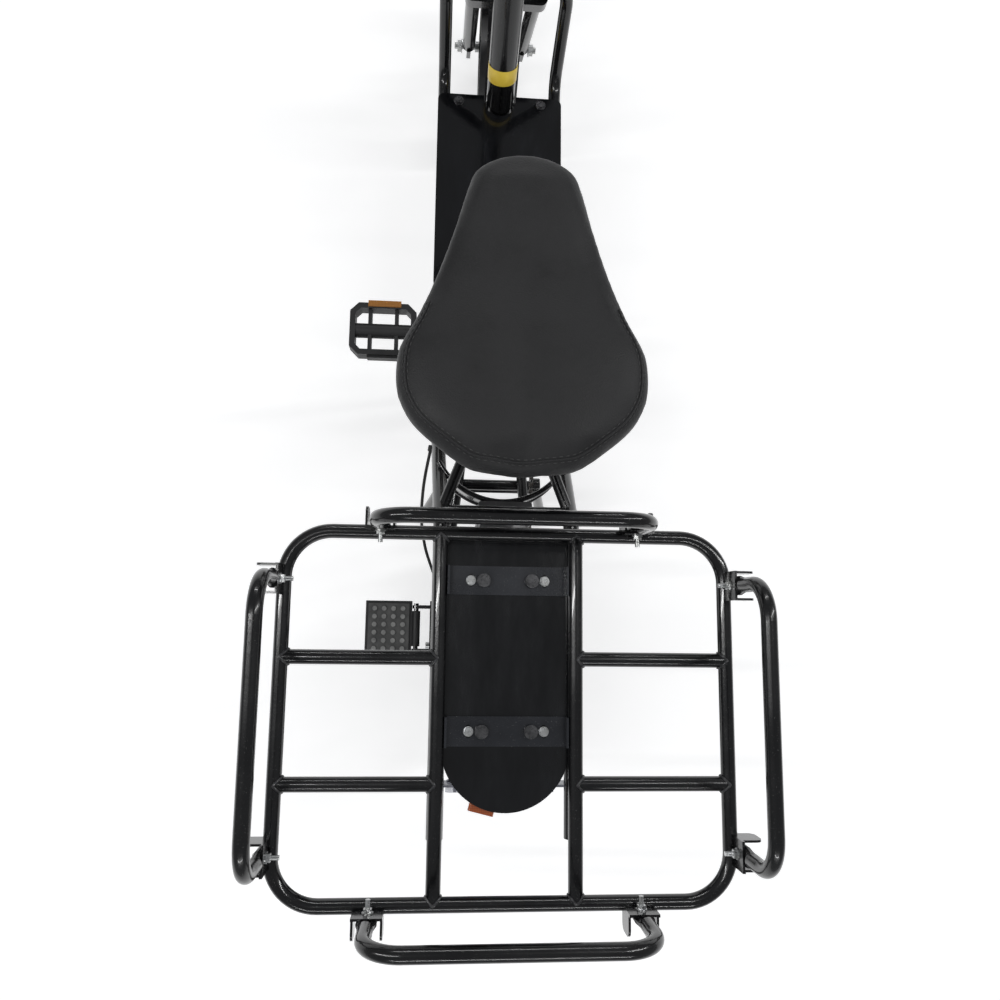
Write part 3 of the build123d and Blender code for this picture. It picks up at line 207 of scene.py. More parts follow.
def ring_tube(points, radius, sides=10, swell=None):
    """Vertices and faces of a closed tube through a loop of points."""
    vertices, faces = [], []
    count = len(points)
    for i, point in enumerate(points):
        along = (points[(i + 1) % count] - points[i - 1]).normalized()
        across = along.cross(Vector((0.3, 0.2, 1))).normalized()
        other = along.cross(across)
        r = radius * (swell(i) if swell else 1)
        for k in range(sides):
            turn = 2 * math.pi * k / sides
            vertices.append(point + across * (r * math.cos(turn)) + other * (r * math.sin(turn)))
    for i in range(count):
        for k in range(sides):
            a, b = i * sides + k, i * sides + (k + 1) % sides
            c, d = (i + 1) % count * sides + (k + 1) % sides, (i + 1) % count * sides + k
            faces.append((a, b, c, d))
    return vertices, faces


# ---------------------------------------------------------------- weld beads
# A ripple of weld metal closes each joint where a rack tube butts against another.
# They are painted with the frame and catch the light because they are rough and round; their lighter grey tone is a
# painted highlight, with dust specks on top.
rack_low, rack_high = (Vector(c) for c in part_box("rack_ring"))
inner_low, inner_high = (Vector(c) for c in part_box("rack_inner_frame"))
tube_r = size("rack_ring").z / 2
rack_z = centre("rack_ring").z
inner_x = size("carrier_plate").x / 2 + 0.0055
bar_faces = [f.center.y for f in nodes["rack_inner_frame"].data.polygons if 0.12 < abs(f.center.x) < 0.28]
rack_y = centre("rack_ring").y
ahead = [y for y in bar_faces if y > rack_y]
behind = [y for y in bar_faces if y < rack_y]
front_bar_y = (min(ahead) + max(ahead)) / 2
rear_bar_y = (min(behind) + max(behind)) / 2
# Lighter grey than the frame enamel: a painted highlight on the weld beads.
weld_highlight_paint = enamel("weld_painted_highlight", (0.012, 0.012, 0.013), (0.035, 0.035, 0.038), rough=(0.2, 0.45), dust=0.8)
bead_r = 0.0019


def weld_bead(name, host, along, seed):
    """A rippled bead round a tube that meets another tube's side at right angles."""
    random.seed(seed)
    side = along.cross(Vector((0, 0, 1)))
    points, swells = [], []
    for k in range(48):
        turn = 2 * math.pi * k / 48
        flat = side * (tube_r * math.cos(turn)) + Vector((0, 0, tube_r * math.sin(turn)))
        reach = tube_r * abs(math.cos(turn))
        points.append(host + flat + along * (reach + 0.0006))
        swells.append(0.85 + 0.3 * (k % 3) / 2 + random.uniform(-0.15, 0.15))
    vertices, faces = ring_tube(points, bead_r, 8, lambda i: swells[i])
    add_mesh(name, vertices, faces, weld_highlight_paint, "frame")


def weld_all():
    half_x = rack_high.x - tube_r
    front, rear = rack_high.y - tube_r, rack_low.y + tube_r
    beads = []
    for side in (-1, 1):
        for y in (front_bar_y, rear_bar_y):
            beads.append((Vector((side * half_x, y, rack_z)), Vector((-side, 0, 0))))
            beads.append((Vector((side * inner_x, y, rack_z)), Vector((side, 0, 0))))
        beads.append((Vector((side * inner_x, front, rack_z)), Vector((0, -1, 0))))
        beads.append((Vector((side * inner_x, rear, rack_z)), Vector((0, 1, 0))))
    for k, (host, along) in enumerate(beads):
        weld_bead(f"weld_bead_{k + 1}", host, along, k)


weld_all()

# ---------------------------------------------------------------- carrier plate and deck plate
# Flat pressed sheet in the same black, polished by the factory film, so it mirrors
# what is above it, with faint smears and fine scratches along its length.


def sheet_black(name, smear_scale, rough):
    material, tree, shader = new_material(name)
    place = place_coords(tree, (1, 0.25, 1))
    smears = noise(tree, place, smear_scale, 7, 0.7)
    tone = ramp(tree, smears, [(0.3, (0.001, 0.001, 0.0015)), (0.6, (0.003, 0.0034, 0.0045)), (0.85, (0.012, 0.013, 0.017))])
    tree.links.new(tone, shader.inputs["Base Color"])
    tree.links.new(spread(tree, smears, *rough), shader.inputs["Roughness"])
    shader.inputs["Specular IOR Level"].default_value = 0.35
    shader.inputs["Coat Weight"].default_value = 0.3
    shader.inputs["Coat Roughness"].default_value = 0.05
    scratches = noise(tree, place_coords(tree, (1, 0.03, 1)), 700, 3)
    waves = bump(tree, noise(tree, place, 12, 2), 0.16, 0.004)
    tree.links.new(bump(tree, scratches, 0.05, 0.0003, waves), shader.inputs["Normal"])
    return material


dress("carrier_plate", sheet_black("carrier_black", 14, (0.1, 0.34)))
dress("rack_straps", enamel("strap_grey", (0.009, 0.01, 0.013), (0.022, 0.024, 0.03), rough=(0.16, 0.4)))
dress("deck_plate", sheet_black("deck_film", 30, (0.04, 0.22)))

# ---------------------------------------------------------------- fasteners and bright steel
# Zinc-plated bolts, nuts and axles, and black oxide dome bolts.


def steel(name, dark, light, rough=(0.22, 0.45), grain=320):
    material, tree, shader = new_material(name)
    place = place_coords(tree)
    stain = noise(tree, place, 60, 5)
    tree.links.new(ramp(tree, stain, [(0.3, dark), (0.7, light)]), shader.inputs["Base Color"])
    tree.links.new(spread(tree, noise(tree, place, grain, 3), *rough), shader.inputs["Roughness"])
    shader.inputs["Metallic"].default_value = 1.0
    tree.links.new(bump(tree, noise(tree, place, grain * 3, 2), 0.2, 0.0003), shader.inputs["Normal"])
    return material


zinc = steel("bright_zinc", (0.34, 0.345, 0.33), (0.62, 0.63, 0.64))
oxide = steel("black_oxide", (0.05, 0.05, 0.052), (0.16, 0.16, 0.165), rough=(0.22, 0.42))
oiled = steel("oiled_steel", (0.05, 0.045, 0.04), (0.2, 0.19, 0.18), rough=(0.25, 0.5))
cast_alloy = steel("cast_alloy", (0.35, 0.35, 0.36), (0.6, 0.6, 0.62), rough=(0.4, 0.6))
coated_alloy = enamel("black_casting", (0.01, 0.01, 0.011), (0.025, 0.025, 0.027), rough=(0.35, 0.55))
for node in ("zinc_bolts", "rear_axle", "front_axle", "frame_bearings", "brake_arm"):
    dress(node, zinc)
for node in ("dome_bolts", "cranks_and_spindle", "chainring"):
    dress(node, oxide)
for node in ("rear_hub_and_rim", "front_rim", "controller_box", "brake_lever", "seat_clamp"):
    dress(node, coated_alloy)
dress("freewheel_sprocket", oiled)
dress("brake_housing", cast_alloy)

# ---------------------------------------------------------------- moulded plastic
# Pedals, mudguards, battery shell, saddle pan and lamp body: black polypropylene with
# a fine spark texture, greyer where hands and shoes rub it.


def moulded(name, dark, light, rough=(0.42, 0.62), texture=1400):
    material, tree, shader = new_material(name)
    place = place_coords(tree)
    wear = noise(tree, place, 22, 6, 0.65)
    tree.links.new(ramp(tree, wear, [(0.35, dark), (0.75, light)]), shader.inputs["Base Color"])
    tree.links.new(spread(tree, wear, *rough), shader.inputs["Roughness"])
    fine = bump(tree, noise(tree, place, texture, 2), 0.3, 0.0003)
    tree.links.new(fine, shader.inputs["Normal"])
    return material


black_plastic = moulded("black_plastic", (0.006, 0.006, 0.0065), (0.018, 0.018, 0.019))
gloss_plastic = moulded("mudguard_plastic", (0.008, 0.008, 0.009), (0.02, 0.02, 0.022), rough=(0.2, 0.4), texture=500)
for node in ("saddle_base", "battery_case"):
    dress(node, black_plastic)
for node in ("rear_mudguard", "front_mudguard"):
    dress(node, gloss_plastic)


def prism(name, colour):
    """Reflector plastic: a clear coloured skin over a grid of small prisms."""
    material, tree, shader = new_material(name)
    place = place_coords(tree)
    cells = add_node(tree, "ShaderNodeTexVoronoi", Scale=420.0, Randomness=0.05)
    tree.links.new(place, cells.inputs["Vector"])
    deep = tuple(c * 0.35 for c in colour)
    tree.links.new(ramp(tree, cells.outputs["Distance"], [(0.1, colour), (0.7, deep)]), shader.inputs["Base Color"])
    tree.links.new(spread(tree, noise(tree, place, 40), 0.08, 0.25), shader.inputs["Roughness"])
    shader.inputs["Coat Weight"].default_value = 1.0
    shader.inputs["Transmission Weight"].default_value = 0.15
    tree.links.new(bump(tree, cells.outputs["Distance"], 0.5, 0.001), shader.inputs["Normal"])
    return material


amber = prism("amber_prisms", (0.9, 0.36, 0.05))
dress("tail_reflector", prism("tail_prisms", (0.75, 0.16, 0.03)))
for node in ("pedal_left", "pedal_right"):
    dress(node, black_plastic, amber)
    pedal_y, pedal_half = centre(node).y, size(node).y / 2
    dress_where(node, 1, lambda c, y=pedal_y, h=pedal_half: c.y - y > h - 0.0045)


def front_lens(name, node):
    """The amber lens that clips over the front bar of a pedal, with its edges softened."""
    half_x, depth, thick = 0.027, 0.0105, 0.0016
    low, high = (Vector(corner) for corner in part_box(node))
    x = (low.x + high.x) / 2 + (0.002 if low.x < 0 else -0.002)
    vertices, faces = [], []
    for inset, rise in ((0.0, -0.0004), (0.0, thick * 0.6), (0.0006, thick)):
        for sx, sy in ((-1, 0), (1, 0), (1, 1), (-1, 1)):
            y = high.y - depth + inset if sy == 0 else high.y - inset
            vertices.append(Vector((x + sx * (half_x - inset), y, high.z + rise)))
    for level in (0, 4):
        for k in range(4):
            a, b = level + k, level + (k + 1) % 4
            faces.append((a, b, b + 4, a + 4))
    faces += [(3, 2, 1, 0), (8, 9, 10, 11)]
    add_mesh(name, vertices, faces, amber, node, smooth=False)


front_lens("pedal_lens_left", "pedal_left")
front_lens("pedal_lens_right", "pedal_right")

# ---------------------------------------------------------------- brake cable, grips, peg pads
# Black rubber with a dull bloom. The pads are a paler grey rubber, with a painted highlight on the studs: their tops
# are a lighter grey.


def rubber(name, dark, light, rough=(0.6, 0.85), rings=None):
    material, tree, shader = new_material(name)
    place = place_coords(tree)
    bloom = noise(tree, place, 45, 6, 0.7)
    tree.links.new(ramp(tree, bloom, [(0.3, dark), (0.75, light)]), shader.inputs["Base Color"])
    tree.links.new(spread(tree, bloom, *rough), shader.inputs["Roughness"])
    pores = bump(tree, noise(tree, place, 1100, 2), 0.35, 0.0003)
    if rings:
        wave = add_node(tree, "ShaderNodeTexWave", Scale=rings, Distortion=0.0)
        tree.links.new(place, wave.inputs["Vector"])
        pores = bump(tree, wave.outputs["Fac"], 0.8, 0.001, pores)
    tree.links.new(pores, shader.inputs["Normal"])
    return material


dress("brake_cable", rubber("cable_sheath", (0.012, 0.012, 0.012), (0.035, 0.035, 0.035)))
grip_rubber = rubber("grip_rubber", (0.015, 0.015, 0.015), (0.045, 0.045, 0.045), rings=40)
for node in ("grip_left", "throttle_grip"):
    dress(node, grip_rubber)
pad_rubber = rubber("pad_rubber", (0.035, 0.035, 0.035), (0.1, 0.1, 0.098), rough=(0.45, 0.65))
# The stud tops get a lighter grey rubber, which is a painted highlight.
stud_highlight_rubber = rubber("stud_tops_painted_highlight", (0.11, 0.11, 0.11), (0.3, 0.3, 0.29), rough=(0.35, 0.5))
stud_depth = 0.0009
dress("foot_peg_pad_left", pad_rubber, stud_highlight_rubber)
stud_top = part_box("foot_peg_pad_left")[1][2]
# Painted highlight: the upward stud tops of the left pad get the lighter rubber.
dress_where("foot_peg_pad_left", 1, lambda c: c.z > stud_top - stud_depth)
dress("foot_peg_pad_right", pad_rubber, stud_highlight_rubber)
stud_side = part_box("foot_peg_pad_right")[0][0]
# Painted highlight: the outward stud tops of the folded right pad get the lighter rubber.
dress_where("foot_peg_pad_right", 1, lambda c: c.x < stud_side + stud_depth)
for node in ("foot_peg_left", "foot_peg_right"):
    dress(node, black_plastic)
sole_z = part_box("centre_stand")[0][2]
nodes["centre_stand"].data.materials.append(grip_rubber)
dress_where("centre_stand", 1, lambda c: c.z < sole_z + 0.0202)
dress("handlebar", black_enamel)
dress("headlamp", black_plastic)
dress("number_panel", enamel("panel_paint", (0.28, 0.29, 0.34), (0.4, 0.41, 0.47), rough=(0.3, 0.5)))

# ---------------------------------------------------------------- band on the down tube
# A plain yellow plastic band wrapped once round the foot of the down tube.
yellow_plastic = moulded("yellow_band", (0.75, 0.52, 0.04), (0.95, 0.72, 0.1), rough=(0.25, 0.4))
tube_low, tube_high = (Vector(c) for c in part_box("down_tube"))
down_r = size("down_tube").x / 2
lean = math.radians(71)
down_way = Vector((0, math.cos(lean), math.sin(lean)))
foot = Vector((0, tube_low.y + down_r * math.sin(lean), tube_low.z))
band_mid = foot + down_way * 0.075
band_half, band_t = 0.014, 0.0006


def tube_band(name, middle, way, r, half, thick, material, body):
    """A thin sleeve round a straight tube, with softened edges."""
    across = Vector((1, 0, 0))
    other = way.cross(across).normalized()
    outline = [(-half, r), (-half, r + thick * 0.6), (-half + thick, r + thick), (half - thick, r + thick), (half, r + thick * 0.6), (half, r)]
    vertices, faces = [], []
    steps = 64
    for k in range(steps):
        turn = 2 * math.pi * k / steps
        out = across * math.cos(turn) + other * math.sin(turn)
        vertices += [middle + way * h + out * radius for h, radius in outline]
    n = len(outline)
    for k in range(steps):
        for j in range(n):
            a, b = k * n + j, k * n + (j + 1) % n
            c, d = (k + 1) % steps * n + (j + 1) % n, (k + 1) % steps * n + j
            faces.append((a, b, c, d))
    return add_mesh(name, vertices, faces, material, body)


tube_band("down_tube_band", band_mid, down_way, down_r + 0.0002, band_half, band_t, yellow_plastic, "frame")

# ---------------------------------------------------------------- tyres
# 14-inch road tyres: a round carcass, a raised tread of slanted blocks with a centre
# rib, thin mould lines and a smooth sidewall that tucks into the rim.


def tread_depth(across, around):
    """How far a point of the tread sinks, from its place across (-1..1) and around the tyre."""
    if abs(across) > 0.62:
        return 0.0
    blocks = 54
    slant = (around * blocks / (2 * math.pi) + abs(across) * 1.6) % 1.0
    groove = 0.0022 if slant < 0.2 and abs(across) > 0.13 else 0.0
    if 0.13 < abs(across) < 0.19 or 0.4 < abs(across) < 0.44:
        groove = 0.0022
    return groove


def tyre_mesh(name, node, body, material):
    """A tyre shell with real grooves, the size of the CAD tyre."""
    middle = centre(node)
    outer = size(node).z / 2
    section = size(node).x / 2
    ring = outer - section
    around_steps, across_steps = 432, 48
    reach = math.radians(128)
    vertices, faces = [], []
    for i in range(around_steps):
        turn = 2 * math.pi * i / around_steps
        for j in range(across_steps + 1):
            across = 2 * j / across_steps - 1
            angle = across * reach
            r = section - 0.0004 - tread_depth(across, turn)
            if 0.66 < abs(across) < 0.68:
                r += 0.0004
            x = r * math.sin(angle)
            radius = ring + r * math.cos(angle)
            vertices.append(middle + Vector((x, radius * math.cos(turn), radius * math.sin(turn))))
    n = across_steps + 1
    for i in range(around_steps):
        for j in range(across_steps):
            a, b = i * n + j, i * n + j + 1
            c, d = (i + 1) % around_steps * n + j + 1, (i + 1) % around_steps * n + j
            faces.append((a, b, c, d))
    piece = add_mesh(name, vertices, faces, material, body)
    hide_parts(node)
    return piece


tyre_rubber = rubber("tyre_rubber", (0.012, 0.012, 0.012), (0.05, 0.048, 0.045), rough=(0.65, 0.9))
tyre_mesh("rear_tyre_treaded", "rear_tyre", "rear_wheel", tyre_rubber)
tyre_mesh("front_tyre_treaded", "front_tyre", "front_wheel", tyre_rubber)

# ---------------------------------------------------------------- chain
# Half-inch bicycle chain: pairs of waisted side plates on rollers, oiled and dull.
# The links follow the loop that the CAD chain fills round both sprockets.
PITCH = 0.0127


def chain_route():
    """Points along the middle of the chain's loop, in order."""
    low, high = (Vector(c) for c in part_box("chain"))
    thick = 0.004
    small = centre("freewheel_sprocket")
    big = centre("chainring")
    big_r = (high.y - big.y) - thick
    small_r = (small.y - low.y) - thick
    flat = Vector((0, big.y - small.y, big.z - small.z))
    apart = flat.length
    ahead = flat.normalized()
    upward = Vector((1, 0, 0)).cross(ahead)
    opening = math.asin((big_r - small_r) / apart)
    points = []
    arc_big = [opening + math.pi / 2 - (math.pi + 2 * opening) * k / 90 for k in range(91)]
    arc_small = [-math.pi / 2 - opening - (math.pi - 2 * opening) * k / 40 for k in range(41)]
    for turn in arc_big:
        points.append(big + (ahead * math.cos(turn) + upward * math.sin(turn)) * big_r)
    for turn in arc_small:
        points.append(small + (ahead * math.cos(turn) + upward * math.sin(turn)) * small_r)
    return [Vector((big.x, p.y, p.z)) for p in points]


def chain_links():
    route = chain_route()
    count_points = len(route)
    lengths = [(route[(i + 1) % count_points] - route[i]).length for i in range(count_points)]
    total = sum(lengths)
    count = round(total / PITCH / 2) * 2
    step = total / count
    pins, travelled, i = [], 0.0, 0
    for k in range(count):
        want = k * step
        while travelled + lengths[i] < want:
            travelled += lengths[i]
            i += 1
        share = (want - travelled) / lengths[i]
        pins.append(route[i].lerp(route[(i + 1) % count_points], share))
    mesh = bmesh.new()
    for k in range(count):
        a, b = pins[k], pins[(k + 1) % count]
        along = (b - a).normalized()
        up = Vector((1, 0, 0)).cross(along)
        half_gap = 0.0027 if k % 2 else 0.0019
        for side in (-1, 1):
            outline = []
            for j in range(28):
                turn = 2 * math.pi * j / 28
                x = math.cos(turn) * (step / 2 + 0.0036)
                waist = 0.0037 - 0.0012 * math.exp(-((x / 0.003) ** 2))
                outline.append((a + b) / 2 + along * x + up * (math.copysign(abs(math.sin(turn)) ** 0.6, math.sin(turn)) * waist))
            faces = []
            for shift in (half_gap, half_gap + 0.0007):
                loop = [mesh.verts.new(p + Vector((side * shift, 0, 0))) for p in outline]
                faces.append(loop)
                mesh.faces.new(loop)
            for j in range(28):
                mesh.faces.new((faces[0][j], faces[0][(j + 1) % 28], faces[1][(j + 1) % 28], faces[1][j]))
        cap = Matrix.Translation(a) @ Matrix.Rotation(math.pi / 2, 4, "Y")
        bmesh.ops.create_cone(mesh, cap_ends=True, segments=12, radius1=0.0036, radius2=0.0036, depth=0.0036, matrix=cap)
        bmesh.ops.create_cone(mesh, cap_ends=True, segments=10, radius1=0.0018, radius2=0.0018, depth=0.0069, matrix=cap)
    bmesh.ops.recalc_face_normals(mesh, faces=mesh.faces)
    data = bpy.data.meshes.new("chain_links")
    mesh.to_mesh(data)
    mesh.free()
    piece = bpy.data.objects.new("chain_links", data)
    bpy.context.scene.collection.objects.link(piece)
    data.materials.append(oiled)
    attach(piece, "frame")
    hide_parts("chain")


chain_links()

# ---------------------------------------------------------------- saddle cushion
# Foam under black grained leatherette, pulled down over the pan and double stitched
# just inside its rear edge, with a separate skirt below the seam.


def leatherette(name):
    material, tree, shader = new_material(name)
    place = place_coords(tree)
    cells = add_node(tree, "ShaderNodeTexVoronoi", Scale=620.0)
    tree.links.new(place, cells.inputs["Vector"])
    fold = noise(tree, place, 18, 6, 0.6)
    tree.links.new(ramp(tree, fold, [(0.3, (0.005, 0.005, 0.0055)), (0.75, (0.011, 0.011, 0.012))]), shader.inputs["Base Color"])
    tree.links.new(spread(tree, fold, 0.45, 0.62), shader.inputs["Roughness"])
    shader.inputs["Specular IOR Level"].default_value = 0.4
    shader.inputs["Sheen Weight"].default_value = 0.04
    grain = bump(tree, cells.outputs["Distance"], 0.45, 0.0006)
    tree.links.new(bump(tree, noise(tree, place, 90, 4), 0.15, 0.0015, grain), shader.inputs["Normal"])
    return material


cushion_low, cushion_high = (Vector(c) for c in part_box("saddle_cushion"))
# half widths of the padded cover, in millimetres from the saddle's rear edge
cover_halves = [(0, 58), (10, 68), (19, 82), (31, 98), (44, 115), (59, 129), (87, 143), (117, 146.6), (147, 142.6)]
cover_halves += [(190, 122), (232, 104.6), (297, 82.4), (340, 70), (368, 60), (391, 52)]
COVER_LENGTH = 0.391
REAR_ROUND, FRONT_ROUND = 0.008, 0.028


def rounded_off(reach):
    """A quarter circle's rise, from 0 at the tip to 1 where the rounding ends."""
    return math.sqrt(max(0.0, 1 - (1 - min(reach, 1)) ** 2))


def half_width(place):
    """The cover's half width at a distance from the saddle's rear edge."""
    mm = place * 1000
    last = len(cover_halves) - 1
    i = max(k for k in range(last) if cover_halves[k][0] <= mm or k == 0)
    (x0, w0), (x1, w1) = cover_halves[i], cover_halves[i + 1]
    before, after = cover_halves[max(i - 1, 0)], cover_halves[min(i + 2, last)]
    slope0 = (w1 - before[1]) / (x1 - before[0])
    slope1 = (after[1] - w0) / (after[0] - x0)
    t, span = (mm - x0) / (x1 - x0), x1 - x0
    curve = w0 * (2 * t**3 - 3 * t**2 + 1) + w1 * (3 * t**2 - 2 * t**3)
    curve += span * (slope0 * (t**3 - 2 * t**2 + t) + slope1 * (t**3 - t**2))
    return curve / 1000 * rounded_off(place / REAR_ROUND) * rounded_off((COVER_LENGTH - place) / FRONT_ROUND)


def saddle_shell():
    """The cushion's closed form: widest low down, rolled over the edges, dished on top."""
    rows = 72
    smooth = []
    for i in range(rows + 1):
        share = 0.5 - 0.5 * math.cos(math.pi * i / rows)
        place = 0.001 + share * (COVER_LENGTH - 0.002)
        smooth.append((cushion_low.y + place, share, half_width(place)))
    vertices, faces = [], []
    sides = 56
    bottom, top = cushion_low.z + 0.002, cushion_high.z - 0.002
    for y, share, w in smooth:
        w = max(w, 0) + 0.003
        end = min(1.0, min(share, 1 - share) * 9)
        crown = top - 0.012 * (1 - end) ** 2 - 0.010 * math.exp(-((share - 0.62) / 0.17) ** 2)
        crown -= 0.008 * share
        for k in range(sides):
            turn = 2 * math.pi * k / sides
            c, s = math.cos(turn), math.sin(turn)
            x = w * math.copysign(abs(c) ** 0.62, c)
            if s >= 0:
                groove = 0.0035 * math.exp(-((x / 0.014) ** 2)) * math.exp(-((share - 0.35) / 0.3) ** 2)
                z = bottom + 0.024 + (crown - bottom - 0.024) * s ** 0.7 - groove
            else:
                z = bottom + 0.024 - 0.024 * abs(s) ** 0.5
                x *= 1 - 0.07 * abs(s)
            vertices.append(Vector((x, y, z)))
    for i in range(rows):
        for k in range(sides):
            a, b = i * sides + k, i * sides + (k + 1) % sides
            faces.append((a, b, b + sides, a + sides))
    faces.append(tuple(range(sides - 1, -1, -1)))
    faces.append(tuple(range(rows * sides, (rows + 1) * sides)))
    return vertices, faces


leather = leatherette("seat_leatherette")
vertices, faces = saddle_shell()
cushion = add_mesh("saddle_cushion_cover", vertices, faces, leather, "seat")


def apply_all(piece):
    """Turn a piece's modifiers into plain mesh."""
    depsgraph = bpy.context.evaluated_depsgraph_get()
    mesh = bpy.data.meshes.new_from_object(piece.evaluated_get(depsgraph))
    piece.modifiers.clear()
    piece.data = mesh


def puff(piece, voxel, pressure, cap, frames=20):
    """Swell a closed piece as a stuffed cover, and keep every point within a cap of its start."""
    remesh = piece.modifiers.new("even_mesh", "REMESH")
    remesh.mode = "VOXEL"
    remesh.voxel_size = voxel
    apply_all(piece)
    start = [v.co.copy() for v in piece.data.vertices]
    cloth = piece.modifiers.new("cover", "CLOTH")
    cloth.settings.use_pressure = True
    cloth.settings.uniform_pressure_force = pressure
    cloth.settings.effector_weights.gravity = 0
    cloth.settings.tension_stiffness = 25
    cloth.settings.bending_stiffness = 2
    scene = bpy.context.scene
    for number in range(1, frames + 1):
        scene.frame_set(number)
    apply_all(piece)
    scene.frame_set(1)
    for vertex, before in zip(piece.data.vertices, start):
        move = vertex.co - before
        if move.length > cap:
            vertex.co = before + move * (cap / move.length)


puff(cushion, 0.005, 3, 0.003)
relax = cushion.modifiers.new("relax", "SMOOTH")
relax.factor = 0.5
relax.iterations = 4
finer = cushion.modifiers.new("finer", "SUBSURF")
finer.levels = finer.render_levels = 1
apply_all(cushion)
cushion.data.materials.clear()
cushion.data.materials.append(leather)
for vertex in cushion.data.vertices:
    vertex.co.y = min(max(vertex.co.y, cushion_low.y - 0.002), cushion_low.y + COVER_LENGTH + 0.002)
cushion.data.polygons.foreach_set("use_smooth", [True] * len(cushion.data.polygons))
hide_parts("saddle_cushion")

# ---------------------------------------------------------------- saddle seam and stitches
# A folded welt runs round the saddle where top and skirt meet, with two rows of
# short thread stitches beside it along the rear.
cover_tree = BVHTree.FromPolygons([v.co for v in cushion.data.vertices], [p.vertices[:] for p in cushion.data.polygons])
thread, thread_tree, thread_shader = new_material("seat_thread")
thread_place = place_coords(thread_tree)
thread_tone = ramp(thread_tree, noise(thread_tree, thread_place, 700), [(0.3, (0.02, 0.02, 0.02)), (0.7, (0.06, 0.06, 0.06))])
thread_tree.links.new(thread_tone, thread_shader.inputs["Base Color"])
thread_tree.links.new(spread(thread_tree, noise(thread_tree, thread_place, 300), 0.5, 0.8), thread_shader.inputs["Roughness"])
thread_tree.links.new(bump(thread_tree, noise(thread_tree, thread_place, 2500), 0.4, 0.0003), thread_shader.inputs["Normal"])


SEAM_REACH = math.radians(118)


def seam_line(inset, steps):
    """Points on the cover, a set distance inside its outline, round the saddle's rear."""
    middle_y = cushion_low.y + 0.14
    points = []
    for k in range(steps + 1):
        turn = SEAM_REACH * (2 * k / steps - 1)
        way = Vector((math.sin(turn), -math.cos(turn), 0))
        start = Vector((0, middle_y, (cushion_low.z + cushion_high.z) / 2 - 0.004))
        hit = cover_tree.ray_cast(start + way * 0.6, -way)[0]
        if hit is None:
            continue
        inner = hit - way * (inset - 0.006 * (turn / SEAM_REACH) ** 4)
        above = cover_tree.ray_cast(Vector((inner.x, inner.y, 2)), Vector((0, 0, -1)))
        points.append((above[0], above[1]))
    return points


def welt(inset, radius):
    """A folded cord of cover that follows the seam and sinks into it at both ends."""
    line = seam_line(inset, 200)
    out = [point + normal * (radius * 0.35) for point, normal in line]
    back = [point - normal * (radius * 1.5) for point, normal in reversed(line)]
    vertices, faces = ring_tube(out + back, radius, 8)
    add_mesh("saddle_welt", vertices, faces, leather, "seat")


def stitch_row(name, inset, length=0.0045, gap=0.0025):
    """Short thread stitches in a row along the rear half of the saddle."""
    loop = seam_line(inset, 900)
    mesh = bmesh.new()
    travelled, last = 0.0, None
    pending = None
    for point, normal in loop:
        if last is not None:
            travelled += (point - last).length
        last = point
        if pending is None:
            pending = (point, normal)
            travelled = 0.0
            continue
        if travelled >= length and pending[0] is not None:
            a, b = pending[0], point
            along = b - a
            turn = along.to_track_quat("Z", "Y").to_matrix().to_4x4()
            matrix = Matrix.Translation((a + b) / 2 + normal * 0.0003) @ turn
            bmesh.ops.create_uvsphere(mesh, u_segments=6, v_segments=6, radius=1, matrix=matrix @ Matrix.Diagonal((0.0006, 0.0006, along.length / 2, 1)))
            pending = (None, None)
        if pending[0] is None and travelled >= length + gap:
            pending = None
    data = bpy.data.meshes.new(name)
    mesh.to_mesh(data)
    mesh.free()
    piece = bpy.data.objects.new(name, data)
    bpy.context.scene.collection.objects.link(piece)
    data.materials.append(thread)
    data.polygons.foreach_set("use_smooth", [True] * len(data.polygons))
    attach(piece, "seat")


welt(0.0125, 0.0013)
stitch_row("saddle_stitches_outer", 0.0095)
stitch_row("saddle_stitches_inner", 0.0155)

# ---------------------------------------------------------------- saddle springs
# Two compression springs of round wire stand in the cups behind the seat post.


def spring(name, base, height, radius, wire, turns):
    points = []
    steps = int(turns * 24)
    for k in range(steps + 1):
        turn = 2 * math.pi * turns * k / steps
        points.append(base + Vector((radius * math.cos(turn), radius * math.sin(turn), height * k / steps)))
    vertices, faces = [], []
    for i, point in enumerate(points):
        along = (points[min(i + 1, steps)] - points[max(i - 1, 0)]).normalized()
        across = along.cross(Vector((0, 0, 1))).normalized()
        other = along.cross(across)
        for k in range(8):
            turn = 2 * math.pi * k / 8
            vertices.append(point + across * (wire * math.cos(turn)) + other * (wire * math.sin(turn)))
    for i in range(steps):
        for k in range(8):
            a, b = i * 8 + k, i * 8 + (k + 1) % 8
            faces.append((a, b, b + 8, a + 8))
    faces.append(tuple(range(7, -1, -1)))
    faces.append(tuple(range(steps * 8, steps * 8 + 8)))
    add_mesh(name, vertices, faces, zinc, "seat")


base_low = Vector(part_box("saddle_base")[0])
for side, name in ((-1, "saddle_spring_left"), (1, "saddle_spring_right")):
    spring(name, Vector((side * 0.06, base_low.y + 0.0354, base_low.z + 0.009)), 0.03, 0.0085, 0.0016, 5)

